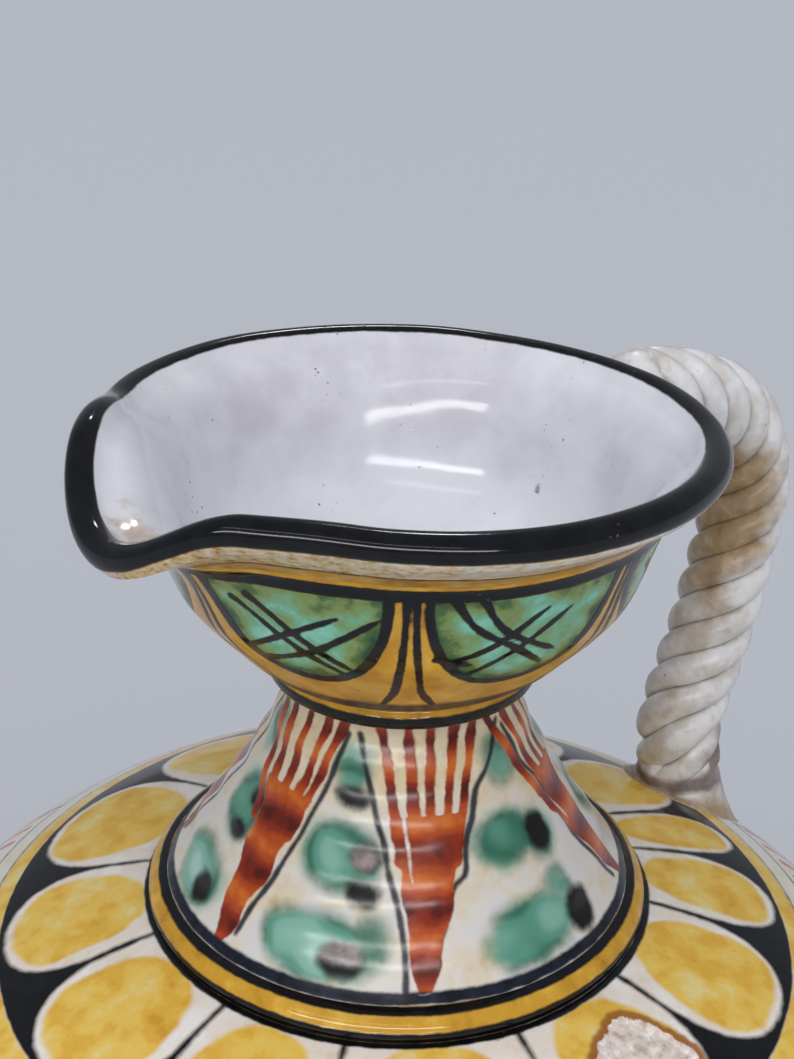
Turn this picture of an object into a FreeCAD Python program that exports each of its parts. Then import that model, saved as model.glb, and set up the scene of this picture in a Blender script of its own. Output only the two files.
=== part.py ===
"""A wheel-thrown, painted ceramic pouring jug with a pinched spout and a twisted rope handle.

The jug stands on the table at height zero with its turning axis on the Z axis. The handle lies
towards +X and the spout towards -X. It is made the way a potter makes it: a foot ring, two thrown
halves of the body, a collar ring, a ridged neck, a neck ring, a mouth bowl and four twisted ropes
of clay, all luted together with slip.
"""
import FreeCAD, Part
import math
import os

from FreeCAD import Vector

# Foot and body
foot_height = 10.0
foot_outer_radius = 60.0
foot_wall = 9.0
foot_band_height = 4.0        # the upright band at the foot's edge, under its slope
foot_rounding = 1.0
base_radius = 55.5            # radius of the flat base of the body, on the foot
belly_radius = 100.0
lower_body_height = 108.0     # from the flat base to the belly joint
shoulder_height = 57.0        # from the belly joint to the seat of the neck
collar_ledge = 3.0            # how far the shoulder's flat seat reaches past the neck
body_wall = 6.0
floor_thickness = 7.0
lower_fullness = 2.0          # exponent of the body curve: 2 is an ellipse, more is squarer
upper_fullness = 2.5

# Neck and its two rings
neck_height = 42.0
neck_top_radius = 18.3
neck_base_radius = 39.5       # where the neck runs into the collar ring
neck_wall = 4.5
neck_flare = 1.33             # exponent of the flare: 1 is a straight cone
neck_ridge_depth = 0.45
neck_ridge_count = 5
collar_height = 4.4
collar_step = 1.6             # how far the neck is cut back under the collar ring
neck_ring_height = 4.0
neck_ring_radius = 22.4
neck_ring_rounding = 1.4

# Mouth bowl
bowl_height = 40.0
bowl_foot_radius = 23.2
bowl_wall = 4.4
rim_radius = 48.9
lip_roll_radius = 2.5
lip_roll_start = -35.0        # degrees above level where the lip's round edge begins, outside
lip_roll_end = 145.0          # and where it ends, inside
throat_rounding = 2.0
mouth_oval = 1.6              # the mouth is this much narrower along X and wider along Y
spout_reach = 8.2
spout_fade = 5.0              # how fast the spout fades down the wall: the power of the way up
spout_half_angle = 43.0       # degrees of the mouth on each side of the spout that are pulled out
spout_dip = 7.9
spout_dip_half_angle = 25.0
front_pinch_rise = 0.4
back_pinch_rise = 2.4
pinch_angle = 30.0            # degrees from the spout to each place where the lip is pinched
pinch_half_angle = 20.0

# Rope handle
rope_radius = 8.3
rope_strands = 4
rope_lay = 28.4               # length of one full twist of a strand
rope_groove_share = 0.2       # depth of the groove between two strands, of the rope's radius
handle_reach = 84.0           # distance of the rope's middle line from the jug's axis
rope_start_gap = 3.4          # from the lip to the end of the rope at the top
rope_start_depth = 7.2        # from the top of the lip down to the rope's middle line there
rope_foot_radius = 70.5       # distance of the rope's foot from the jug's axis
rope_foot_gap = 7.0           # from the shoulder up to the end of the rope
top_pad_depth = 7.5           # how far in from the lip's edge the top pad reaches
pad_spread = 0.9              # how far the foot pad stands out past the rope

# Fits
slip = 0.15                   # slip joint between curved faces that don't rest on each other
overrun = 5.0                 # how far cutting tools run past what they cut

# Heights above the table and radii that follow from the pieces
belly_level = foot_height + lower_body_height
seat_level = belly_level + shoulder_height
neck_top_level = seat_level + neck_height
bowl_level = neck_top_level + neck_ring_height
rim_level = bowl_level + bowl_height
throat_radius = neck_top_radius - neck_wall
shoulder_seat_radius = neck_base_radius + collar_ledge

# The bowl's outside from its foot to the lip: shares of the way out from the foot to the rim, and
# of the bowl's height. The last four are the underside of the turned-out lip.
bowl_outline_shares = [(0.0, 0.0), (0.125, 0.056), (0.276, 0.156), (0.414, 0.256), (0.521, 0.356),
                       (0.58, 0.456), (0.626, 0.556), (0.673, 0.656), (0.704, 0.73),
                       (0.758, 0.777), (0.852, 0.827), (0.925, 0.867)]

# The middle line of the rope from the lip to the shoulder: shares of the way out from the start to
# the reach, and of the way down from the start to the foot.
rope_path_shares = [(0.0, 0.0), (0.31, 0.022), (0.5, 0.043), (0.694, 0.078), (0.835, 0.123),
                    (0.94, 0.184), (1.0, 0.287), (0.97, 0.395), (0.9, 0.51), (0.82, 0.618),
                    (0.718, 0.727), (0.63, 0.836)]

# The top pad's three rounds, from the rope's end to the bowl: steps inwards, and shares of the
# rope's radius that each is lowered by and is wide.
top_pad_shares = [(0, 0.0, 1.0), (1, 0.35, 0.98), (2, 0.95, 0.92)]

# Where the flat sides of a strand have a point: shares of the way from its tip to its outside.
flank_shares = (0.25, 0.6)

# Counts of points on the curves
BODY_STEPS = 14
STEPS_PER_RIDGE = 8
NECK_INSIDE_STEPS = 12
LIP_STEPS = 9
BOWL_COLUMNS = 72             # one every 5 degrees round the mouth
LOBE_STEPS = 8
ROWS_PER_TWIST = 16


def vector(x, y, z):
    return Vector(x, y, z)


def smooth_edge(points, periodic=False):
    """A smooth curve through the points."""
    curve = Part.BSplineCurve()
    curve.interpolate(Points=points, PeriodicFlag=periodic)
    return curve.toShape()


def line(a, b):
    return Part.LineSegment(a, b).toShape()


def turned(edges):
    """A solid of revolution about Z from the edges of a closed outline in the XZ plane."""
    face = Part.Face(Part.Wire(edges))
    return face.revolve(Vector(), vector(0, 0, 1), 360)


def polygon_turned(corners):
    points = [vector(r, 0, z) for r, z in corners]
    edges = [line(a, b) for a, b in zip(points, points[1:] + points[:1])]
    return turned(edges)


def solid_of(faces):
    """One closed solid from faces that share their edges, its skin facing outwards."""
    shell = Part.makeShell(faces)
    shell.sewShape()
    solid = Part.makeSolid(shell)
    if solid.Volume < 0:
        solid.reverse()
    return solid


def bump(angle, half_angle):
    """A rounded bump: 1 in the middle, falling on half a cosine wave to 0 at the half angle."""
    turn = (angle + 180) % 360 - 180
    share = min(abs(turn) / half_angle, 1)
    return 0.5 + 0.5 * math.cos(math.pi * share)


def superellipse_radius(height, half_width, half_height, fullness):
    """The radius at a height above the middle of a superellipse."""
    return half_width * (1 - (height / half_height) ** fullness) ** (1 / fullness)


def half_height_through(radius, height, half_width, fullness):
    """The half height of the superellipse that passes through a point."""
    return height / (1 - (radius / half_width) ** fullness) ** (1 / fullness)


def body_curve(level, sign, half_width, half_height, fullness, top):
    """Points from the belly to a given height above or below it, closer together near the end."""
    points = []
    for i in range(BODY_STEPS + 1):
        height = top * math.sin(math.pi / 2 * i / BODY_STEPS)
        r = superellipse_radius(height, half_width, half_height, fullness)
        points.append(vector(r, 0, level + sign * height))
    return points


lower_half_height = half_height_through(base_radius, lower_body_height, belly_radius, lower_fullness)
upper_half_height = half_height_through(shoulder_seat_radius, shoulder_height, belly_radius,
                                        upper_fullness)


def foot_ring():
    """The turned ring under the body, wider at the table than at the base it carries."""
    inner = base_radius - foot_wall
    corners = [(inner, foot_height), (base_radius, foot_height),
               (foot_outer_radius, foot_band_height), (foot_outer_radius, 0),
               (foot_outer_radius - foot_wall, 0)]
    ring = polygon_turned(corners)
    edges = [e for e in ring.Edges if e.Curve.TypeId == "Part::GeomCircle"
             and e.BoundBox.ZMax < foot_rounding and len(e.Vertexes) == 1]
    return ring.makeFillet(foot_rounding, edges)


def lower_body():
    """The thrown lower half: a superellipse outside and inside, with a flat floor."""
    outer = body_curve(belly_level, -1, belly_radius, lower_half_height, lower_fullness,
                       lower_body_height)
    inside_height = lower_body_height - floor_thickness
    inner = body_curve(belly_level, -1, belly_radius - body_wall, lower_half_height - body_wall,
                       lower_fullness, inside_height)
    inner.reverse()
    floor_top = vector(0, 0, belly_level - inside_height)
    base = vector(0, 0, foot_height)
    edges = [smooth_edge(outer), line(outer[-1], base), line(base, floor_top),
             line(floor_top, inner[0]), smooth_edge(inner), line(inner[-1], outer[0])]
    return turned(edges)


def shoulder_inner_height(radius):
    """How high above the belly the inside of the shoulder is at a radius."""
    half_width = belly_radius - body_wall
    share = 1 - (radius / half_width) ** upper_fullness
    return (upper_half_height - body_wall) * share ** (1 / upper_fullness)


def neck_bore_radius():
    """The radius of the hole in the shoulder, in line with the inside of the neck."""
    return neck_base_radius - collar_step - neck_wall


def upper_body():
    """The thrown shoulder half, open at the top where the neck stands on its flat seat."""
    outer = body_curve(belly_level, 1, belly_radius, upper_half_height, upper_fullness,
                       shoulder_height)
    bore = neck_bore_radius()
    inner = body_curve(belly_level, 1, belly_radius - body_wall, upper_half_height - body_wall,
                       upper_fullness, shoulder_inner_height(bore))
    inner.reverse()
    bore_top = vector(bore, 0, seat_level)
    edges = [smooth_edge(outer), line(outer[-1], bore_top), line(bore_top, inner[0]),
             smooth_edge(inner), line(inner[-1], outer[0])]
    return turned(edges)


def neck_outside(share):
    """The neck's radius at a share of the way down from its top to the collar ring."""
    flare = neck_top_radius + (neck_base_radius - neck_top_radius) * share ** neck_flare
    ridge = 0.5 - 0.5 * math.cos(2 * math.pi * neck_ridge_count * share)
    return flare - neck_ridge_depth * ridge


def neck():
    """The flaring neck: finger ridges outside, smooth inside, cut back under the collar ring."""
    collar_level = seat_level + collar_height
    ridged = neck_height - collar_height
    outer, inner = [], []
    outside_steps = neck_ridge_count * STEPS_PER_RIDGE
    for i in range(outside_steps + 1):
        share = i / outside_steps
        outer.append(vector(neck_outside(share), 0, neck_top_level - share * ridged))
    wide = neck_bore_radius() - throat_radius
    for i in range(NECK_INSIDE_STEPS + 1):
        share = i / NECK_INSIDE_STEPS
        r = throat_radius + wide * share ** neck_flare
        inner.append(vector(r, 0, neck_top_level - share * neck_height))
    inner.reverse()
    step_in = vector(neck_base_radius - collar_step, 0, collar_level)
    step_down = vector(neck_base_radius - collar_step, 0, seat_level)
    edges = [smooth_edge(outer), line(outer[-1], step_in), line(step_in, step_down),
             line(step_down, inner[0]), smooth_edge(inner), line(inner[-1], outer[0])]
    return turned(edges)


def collar_ring():
    """The raised ring in the corner between neck and shoulder, rounded on its outside."""
    inner_radius = neck_base_radius - collar_step + slip
    outer_radius = shoulder_seat_radius
    top = seat_level + collar_height
    a = vector(inner_radius, 0, seat_level)
    b = vector(outer_radius, 0, seat_level)
    c = vector(neck_base_radius, 0, top)
    d = vector(inner_radius, 0, top)
    bulge = (outer_radius - neck_base_radius) / 2
    middle = (b + c) * 0.5 + vector(bulge, 0, bulge) * 0.5
    edges = [line(a, b), Part.Arc(b, middle, c).toShape(), line(c, d), line(d, a)]
    return turned(edges)


def neck_ring():
    """The ring between neck and bowl, with its outer edges rounded."""
    corners = [(throat_radius, neck_top_level), (neck_ring_radius, neck_top_level),
               (neck_ring_radius, bowl_level), (throat_radius, bowl_level)]
    ring = polygon_turned(corners)
    edges = [e for e in ring.Edges if e.Curve.TypeId == "Part::GeomCircle"
             and abs(e.Curve.Radius - neck_ring_radius) < slip and len(e.Vertexes) == 1]
    return ring.makeFillet(neck_ring_rounding, edges)


def bowl_outline(grow=0):
    """The closed outline of the bowl's wall, as radius, height and share of the way to the lip.

    It runs up the outside, round the lip on a circle, and down the inside, which is the outside
    moved in by the wall along its normals, to the throat. A grown outline moves the outside out.
    """
    wide = rim_radius - bowl_foot_radius
    outside = [(bowl_foot_radius + a * wide, b * bowl_height) for a, b in bowl_outline_shares]
    lengths = [0]
    for p, q in zip(outside, outside[1:]):
        lengths.append(lengths[-1] + math.dist(p, q))
    normals = []
    for i in range(len(outside)):
        p, q = outside[max(i - 1, 0)], outside[min(i + 1, len(outside) - 1)]
        run = math.dist(p, q)
        normals.append(((q[1] - p[1]) / run, -(q[0] - p[0]) / run))
    up, down = [], []
    for (r, z), (nr, nz), length in zip(outside, normals, lengths):
        share = length / lengths[-1]
        flat = share > 0
        up.append((r + grow * nr, z + grow * nz * flat, share))
        down.append((r - bowl_wall * nr, z - bowl_wall * nz, share))
    centre_r, centre_z = rim_radius - lip_roll_radius, bowl_height - lip_roll_radius
    size = lip_roll_radius + grow
    roll = []
    for i in range(LIP_STEPS + 1):
        turn = math.radians(lip_roll_start + (lip_roll_end - lip_roll_start) * i / LIP_STEPS)
        roll.append((centre_r + size * math.cos(turn), centre_z + size * math.sin(turn), 1))
    down = [p for p in down[1:-1] if p[0] > throat_radius + throat_rounding]
    down.reverse()
    edge_height = down[-1][1]
    throat = [(throat_radius + throat_rounding / 2, edge_height / 2, 0),
              (throat_radius, edge_height / 4, 0), (throat_radius, 0, 0)]
    return up + roll + down + throat


def mouth_point(radius, height, share, angle):
    """Pulls, dips and pinches the thrown bowl into its spout: more the nearer to the lip."""
    pull = share ** spout_fade
    spout = angle - 180
    radius += pull * spout_reach * bump(spout, spout_half_angle)
    radius -= pull * mouth_oval * math.cos(math.radians(2 * angle))
    height -= pull * spout_dip * bump(spout, spout_dip_half_angle)
    height += pull * front_pinch_rise * bump(spout - pinch_angle, pinch_half_angle)
    height += pull * back_pinch_rise * bump(spout + pinch_angle, pinch_half_angle)
    turn = math.radians(angle)
    return vector(radius * math.cos(turn), radius * math.sin(turn), bowl_level + height)


def pole_swell(step):
    """How far out the poles of a round cubic lie, as a share of its radius, for a step in radians.

    A cubic with evenly turned poles runs at (2 + cos(step)) / 3 of their distance from the axis.
    """
    return 3 / (2 + math.cos(step))


def ring_surface(columns, knots, mults):
    """A cubic surface closed around its first direction, over columns of poles."""
    count = len(columns)
    surface = Part.BSplineSurface()
    around = list(range(count + 1))
    surface.buildFromPolesMultsKnots(columns, [1] * (count + 1), mults, around, knots,
                                     True, False, 3, 3)
    return surface.toShape()


def end_wires(face):
    """The closed edges at the two ends of a surface that is closed around one direction."""
    closed = [e for e in face.Edges if e.isClosed() and len(e.Vertexes) == 1]
    return [Part.Wire([e]) for e in closed]


def bowl_shell(grow=0):
    """The bowl as a solid, with its outside grown: each column follows the pulled outline."""
    outline = bowl_outline(grow)
    spacing = [0]
    for p, q in zip(outline, outline[1:]):
        spacing.append(spacing[-1] + math.dist(p[:2], q[:2]))
    swell = pole_swell(2 * math.pi / BOWL_COLUMNS)
    columns = []
    for i in range(BOWL_COLUMNS):
        points = [mouth_point(*p, 360 * i / BOWL_COLUMNS) for p in outline]
        curve = Part.BSplineCurve()
        curve.interpolate(Points=points, Parameters=spacing)
        poles = [vector(p.x * swell, p.y * swell, p.z) for p in curve.getPoles()]
        columns.append(poles)
    wall = ring_surface(columns, curve.getKnots(), curve.getMultiplicities())
    wires = sorted(end_wires(wall), key=lambda w: -w.Length)
    seat = Part.Face(wires)
    return solid_of([wall, seat])


def mouth_bowl():
    """The thrown bowl with its rolled lip, oval mouth and pinched spout."""
    return bowl_shell()


def shoulder_level(radius):
    """The height of the outside of the shoulder above the table."""
    share = 1 - (radius / belly_radius) ** upper_fullness
    return belly_level + upper_half_height * share ** (1 / upper_fullness)


def rope_path():
    """The rope's middle line in the plane of the handle, from behind the lip to the shoulder."""
    start_r = rim_radius - mouth_oval + rope_start_gap
    start_z = rim_level - rope_start_depth
    foot_z = shoulder_level(rope_foot_radius)
    out, down = handle_reach - start_r, start_z - foot_z
    points = [vector(start_r + a * out, 0, start_z - b * down) for a, b in rope_path_shares]
    lean = (points[-1] - points[-2]).normalize()
    foot = vector(rope_foot_radius, 0, foot_z)
    points.append(foot - lean * rope_foot_gap)
    curve = Part.BSplineCurve()
    curve.interpolate(Points=points)
    return curve


def strand_section():
    """One strand of the rope, seen along it: a wedge with a rounded outside.

    The wedge fills its share of the circle less half a slip joint on each side. Its outside falls
    from the rope's radius in the middle to the bottom of the groove at both sides.
    """
    half = math.pi / rope_strands
    outside = []
    for i in range(LOBE_STEPS + 1):
        side = 2 * i / LOBE_STEPS - 1
        r = rope_radius * (1 - rope_groove_share * side * side)
        outside.append((r * math.cos(side * half), r * math.sin(side * half)))
    shift = slip / 2 / math.sin(half)
    tip = (shift, 0)
    down = [(outside[-1][0] * s, outside[-1][1] * s) for s in reversed(flank_shares)]
    up = [(outside[0][0] * s, outside[0][1] * s) for s in flank_shares]
    section = outside + down + [tip] + up
    return [(x + shift, y) for x, y in section]


def strand(number):
    """One strand: its section carried along the rope's path while it turns with the lay."""
    path = rope_path()
    length = path.length()
    rows = int(length / rope_lay * ROWS_PER_TWIST) + 1
    step = 2 * math.pi * length / rope_lay / rows
    swell = pole_swell(step)
    section = strand_section()
    columns = [[] for _ in section]
    for j in range(rows + 1):
        u = path.parameterAtDistance(length * j / rows)
        middle = path.value(u)
        forward = path.tangent(u)[0]
        side = vector(0, 1, 0)
        upward = side.cross(forward)
        size = swell if 0 < j < rows else 1
        turn = step * j + 2 * math.pi * number / rope_strands
        c, s = math.cos(turn) * size, math.sin(turn) * size
        for column, (x, y) in zip(columns, section):
            column.append(middle + upward * (x * c - y * s) + side * (x * s + y * c))
    knots = list(range(rows - 1))
    mults = [4] + [1] * (rows - 3) + [4]
    skin = ring_surface(columns, knots, mults)
    ends = [Part.Face(w) for w in end_wires(skin)]
    return solid_of([skin] + ends)


def handle_top_pad():
    """The clay behind the lip that the rope is pressed onto, shaped to the bowl's outside."""
    path = rope_path()
    start, lean = path.value(path.FirstParameter), path.tangent(path.FirstParameter)[0]
    inner_end = rim_radius - mouth_oval - top_pad_depth
    inward = (start.x - inner_end) / (len(top_pad_shares) - 1)
    wires = []
    for step, drop_share, size_share in top_pad_shares:
        centre = start - lean * (inward * step) - vector(0, 0, rope_radius * drop_share)
        circle = Part.Circle(centre, lean, rope_radius * size_share)
        wires.append(Part.Wire([circle.toShape()]))
    lump = Part.makeLoft(wires, True, False)
    cut = lump.cut(bowl_shell(slip))
    return max(cut.Solids, key=lambda s: s.CenterOfMass.x)


def handle_foot_pad():
    """The clay at the foot of the rope, spread a little and shaped to the shoulder."""
    path = rope_path()
    end, lean = path.value(path.LastParameter), path.tangent(path.LastParameter)[0]
    sink = rope_foot_gap + overrun + overrun
    cone = Part.makeCone(rope_radius, rope_radius + pad_spread * sink / rope_foot_gap, sink,
                         end, lean)
    grown = belly_radius + slip
    outer = body_curve(belly_level, 1, grown, upper_half_height + slip, upper_fullness,
                       shoulder_height)
    top = vector(0, 0, outer[-1].z)
    middle = vector(0, 0, belly_level)
    dome = turned([smooth_edge(outer), line(outer[-1], top), line(top, middle),
                   line(middle, outer[0])])
    return max(cone.cut(dome).Solids, key=lambda s: s.CenterOfMass.z)


pieces = {
    "foot_ring": foot_ring(),
    "lower_body": lower_body(),
    "upper_body": upper_body(),
    "collar_ring": collar_ring(),
    "neck": neck(),
    "neck_ring": neck_ring(),
    "mouth_bowl": mouth_bowl(),
    "handle_top_pad": handle_top_pad(),
    "handle_foot_pad": handle_foot_pad(),
}
for number in range(rope_strands):
    pieces[f"handle_strand_{number + 1}"] = strand(number)

os.makedirs("parts", exist_ok=True)
for name, shape in pieces.items():
    solid = shape.Solids[0]
    print(name, "valid" if solid.isValid() else "broken", round(solid.Volume), "mm3")
    solid.exportStep(f"parts/{name}.step")
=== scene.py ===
import math

import bpy
import numpy as np
from mathutils import Matrix, Vector


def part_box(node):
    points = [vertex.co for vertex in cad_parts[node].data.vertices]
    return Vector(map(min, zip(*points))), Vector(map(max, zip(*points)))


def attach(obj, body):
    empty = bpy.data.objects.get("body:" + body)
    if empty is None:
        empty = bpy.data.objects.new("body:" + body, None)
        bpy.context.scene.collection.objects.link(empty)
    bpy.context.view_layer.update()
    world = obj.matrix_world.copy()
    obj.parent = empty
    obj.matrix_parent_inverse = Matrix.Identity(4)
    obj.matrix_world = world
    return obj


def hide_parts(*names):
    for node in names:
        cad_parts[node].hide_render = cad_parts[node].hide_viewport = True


# The looks of a wheel-thrown pouring jug: white tin glaze over buff clay, brushwork in black, rust,
# copper green and ochre, a chip in the glaze of the shoulder, and a handle of twisted clay.
#
# Lengths are in millimetres until they go into a mesh. A turn is an angle round the jug, in degrees
# to the right of its front, the side that faces the viewer. Each painted face has its own level:
# height above the bowl's foot, depth below the neck's top, or run down the body from the collar.

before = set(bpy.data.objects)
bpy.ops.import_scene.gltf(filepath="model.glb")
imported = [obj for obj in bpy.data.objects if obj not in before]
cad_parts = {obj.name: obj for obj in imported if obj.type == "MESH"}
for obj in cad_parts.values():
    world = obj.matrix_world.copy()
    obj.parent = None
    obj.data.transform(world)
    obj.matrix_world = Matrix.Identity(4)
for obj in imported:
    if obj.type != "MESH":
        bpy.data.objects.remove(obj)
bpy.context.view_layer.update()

MM = 0.001
FRONT = -129.5                # azimuth of the front: the handle lies at 0, the spout at 180
FAR = 4.0                     # a distance from a painted shape that counts as bare of it


def top_of(node):
    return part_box(node)[1].z / MM


# Levels of the joints, from the frame
FOOT_TOP = top_of("foot_ring")
BELLY_LEVEL = top_of("lower_body")
SEAT_LEVEL = top_of("upper_body")
COLLAR_TOP = top_of("collar_ring")
NECK_TOP = top_of("neck")
BOWL_LEVEL = top_of("neck_ring")

# Foot and body
FOOT_RADIUS = 60.0
FOOT_WALL = 9.0
FOOT_BAND = 4.0
BASE_RADIUS = 55.5
BELLY_RADIUS = 99.7           # a little inside the construction, to leave room for the wobble
SEAT_RADIUS = 42.5
BODY_WALL = 6.0
FLOOR = 7.0
LOWER_FULLNESS = 2.0
UPPER_FULLNESS = 2.5

# Neck and its rings
THROAT = 13.8
NECK_TOP_RADIUS = 18.3
NECK_BASE_RADIUS = 39.5
NECK_BORE = 33.4
NECK_FLARE = 1.33
RIDGES = 5
RIDGE_DEPTH = 0.45
COLLAR_STEP = 1.6
RING_RADIUS = 22.4
RING_ROUNDING = 1.4

# Mouth bowl
BOWL_HEIGHT = 40.0
BOWL_FOOT = 23.2
BOWL_WALL = 4.4
RIM_RADIUS = 48.9
LIP_ROLL = 2.5
LIP_START, LIP_END = -35.0, 145.0
MOUTH_OVAL = 1.6
SPOUT_REACH = 8.2
SPOUT_FADE = 5.0
SPOUT_HALF = 43.0
SPOUT_DIP = 7.9
SPOUT_DIP_HALF = 25.0
FRONT_PINCH, BACK_PINCH = 0.4, 2.4
PINCH_ANGLE, PINCH_HALF = 30.0, 20.0

bowl_outline_shares = [(0.0, 0.0), (0.125, 0.056), (0.276, 0.156), (0.414, 0.256), (0.521, 0.356),
                       (0.58, 0.456), (0.626, 0.556), (0.673, 0.656), (0.704, 0.73),
                       (0.758, 0.777), (0.852, 0.827), (0.925, 0.867)]

# Rope handle
ROPE_RADIUS = 8.3
STRANDS = 4
ROPE_LAY = 28.4
GROOVE_SHARE = 0.2
HANDLE_REACH = 84.0
ROPE_START = (50.7, 253.8)
ROPE_FOOT_RADIUS = 70.5
ROPE_FOOT_GAP = 7.0

rope_path_shares = [(0.0, 0.0), (0.31, 0.022), (0.5, 0.043), (0.694, 0.078), (0.835, 0.123),
                    (0.94, 0.184), (1.0, 0.287), (0.97, 0.395), (0.9, 0.51), (0.82, 0.618),
                    (0.718, 0.727), (0.63, 0.836)]

# Glaze and clay
GLAZE_IOR = 1.5
SHINE = 0.36                  # how much the glaze mirrors, where 0.5 is clear glass
CLAY_ROUGHNESS = 0.85
SPECK_STRENGTH = 0.8
SHARP = 48.0                  # edges with a turn above it, in degrees, stay sharp

hand = np.random.default_rng(23)      # draws for the bowl's painting, in the order of its strokes


# Paths, angles and unevenness

def lengths(points):
    """Distance along a path at each of its points."""
    return np.concatenate(([0], np.cumsum(np.linalg.norm(np.diff(points, axis=0), axis=1))))


def smooth(points, count):
    """A smooth curve through points: cubics by length, each point's slope from its neighbours."""
    points = np.asarray(points, float)
    at = lengths(points)
    slopes = np.gradient(points, at, axis=0)
    where = np.linspace(0, at[-1], count)
    i = np.clip(np.searchsorted(at, where, "right") - 1, 0, len(at) - 2)
    run = (at[i + 1] - at[i])[:, None]
    t = (where - at[i])[:, None] / run
    start, end = points[i], points[i + 1]
    lift, land = slopes[i] * run, slopes[i + 1] * run
    return ((2 * t**3 - 3 * t**2 + 1) * start + (t**3 - 2 * t**2 + t) * lift
            + (3 * t**2 - 2 * t**3) * end + (t**3 - t**2) * land)


def spaced(points, count):
    """The same path with a given number of points, evenly spaced along it.

    The first two columns are a point's place, and any others go along with it.
    """
    points = np.asarray(points, float)
    at = lengths(points[:, :2])
    where = np.linspace(0, at[-1], count)
    return np.stack([np.interp(where, at, column) for column in points.T], axis=1)


def wrapped(angle):
    """An angle in degrees, brought between -180 and 180."""
    return (np.asarray(angle) + 180) % 360 - 180


def bump(angle, half):
    """1 in the middle of a rounded bump, falling on half a cosine wave to 0 at the half angle."""
    return 0.5 + 0.5 * np.cos(np.pi * np.minimum(np.abs(wrapped(angle)) / half, 1))


def oblong(angle, power):
    """A rounded oblong, |x|^p + |y|^p = 1: its x and its y at angles in radians."""
    return [np.sign(v) * np.abs(v) ** (2 / power) for v in (np.cos(angle), np.sin(angle))]


def round_jug(r, turn, z):
    """Points in space from a radius, a turn round the jug and a height."""
    azimuth = np.radians(np.asarray(turn) + FRONT)
    return np.stack(np.broadcast_arrays(r * np.cos(azimuth), r * np.sin(azimuth), z), axis=-1)


def grain(points, size, seed):
    """Smooth random values from -1 to 1 over space: a lattice of random values, blended in cells.

    Each corner's value is the fraction of a large multiple of the sine of its place, and the blend
    across a cell is 3t^2 - 2t^3 along each axis.
    """
    cell = np.floor(points / size)
    t = points / size - cell
    t = t * t * (3 - 2 * t)
    total = 0
    for corner in np.ndindex(2, 2, 2):
        place = (cell + corner) @ np.array([12.9898, 78.233, 37.719]) + seed * 7.31
        value = np.sin(place) * 43758.5453
        value = 2 * (value - np.floor(value)) - 1
        weight = np.prod(np.where(corner, t, 1 - t), axis=-1)
        total = total + value * weight
    return total


def uneven(points, *waves):
    """How thrown clay strays, in mm: the sum of waves of grain, each a height, size and seed."""
    return sum(height * grain(points, size, seed) for height, size, seed in waves)


# Outlines, as rows of radius and height

def body_side(sign, half, fullness, top, width, count):
    """A superellipse from the belly up or down: r = w (1 - (z/h)^n)^(1/n)."""
    z = top * np.sin(np.linspace(0, np.pi / 2, count))
    r = width * (1 - (z / half) ** fullness) ** (1 / fullness)
    return np.stack([r, BELLY_LEVEL + sign * z], axis=1)


def half_height(radius, height, fullness):
    """The half height of the superellipse that passes through a point of the outline."""
    return height / (1 - (radius / BELLY_RADIUS) ** fullness) ** (1 / fullness)


lower_half = half_height(BASE_RADIUS, BELLY_LEVEL - FOOT_TOP, LOWER_FULLNESS)
upper_half = half_height(SEAT_RADIUS, SEAT_LEVEL - BELLY_LEVEL, UPPER_FULLNESS)


# The whole outside of the body, from the collar over the belly to the foot, and the run down it
SHOULDER = body_side(1, upper_half, UPPER_FULLNESS, SEAT_LEVEL - BELLY_LEVEL, BELLY_RADIUS,
                     200)[::-1]
BODY = np.concatenate((SHOULDER, body_side(-1, lower_half, LOWER_FULLNESS, BELLY_LEVEL - FOOT_TOP,
                                           BELLY_RADIUS, 240)[1:]))
BODY_RUN = lengths(BODY)
BELLY_RUN = float(BODY_RUN[len(SHOULDER) - 1])
FOOT_RUN = float(BODY_RUN[-1])
FINE_RADIUS = 78.0            # the painted shoulder within it has the finest rows


def run_of(radius):
    """The run down the shoulder from the collar to a radius."""
    return float(np.interp(radius, SHOULDER[:, 0], BODY_RUN[:len(SHOULDER)]))


def body_at(runs):
    """Points of the body's outside at given runs."""
    return np.stack([np.interp(runs, BODY_RUN, column) for column in BODY.T], axis=1)


def shoulder_outline():
    """The upper half: runs of its outside's rows, fine on the petals, and its inside's points."""
    runs = np.concatenate((np.linspace(0, run_of(FINE_RADIUS), 76),
                           np.linspace(run_of(FINE_RADIUS), BELLY_RUN, 44)[1:]))
    share = 1 - (NECK_BORE / (BELLY_RADIUS - BODY_WALL)) ** UPPER_FULLNESS
    inner_top = (upper_half - BODY_WALL) * share ** (1 / UPPER_FULLNESS)
    inside = body_side(1, upper_half - BODY_WALL, UPPER_FULLNESS, inner_top,
                       BELLY_RADIUS - BODY_WALL, 16)
    throat = spaced([inside[-1], (NECK_BORE, SEAT_LEVEL)], 3)[1:]
    return runs, np.concatenate((inside, throat))


def lower_outline():
    """The lower half: runs of its outside's rows, and points across the base and up the inside."""
    runs = np.linspace(BELLY_RUN, FOOT_RUN, 112)
    inside_height = BELLY_LEVEL - FOOT_TOP - FLOOR
    inside = body_side(-1, lower_half - BODY_WALL, LOWER_FULLNESS, inside_height,
                       BELLY_RADIUS - BODY_WALL, 18)[::-1]
    base = np.array([(BASE_RADIUS / 2, FOOT_TOP), (1.0, FOOT_TOP), (1.0, FOOT_TOP + FLOOR),
                     (inside[0][0] / 2, FOOT_TOP + FLOOR)])
    return runs, np.concatenate((base, inside))


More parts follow.
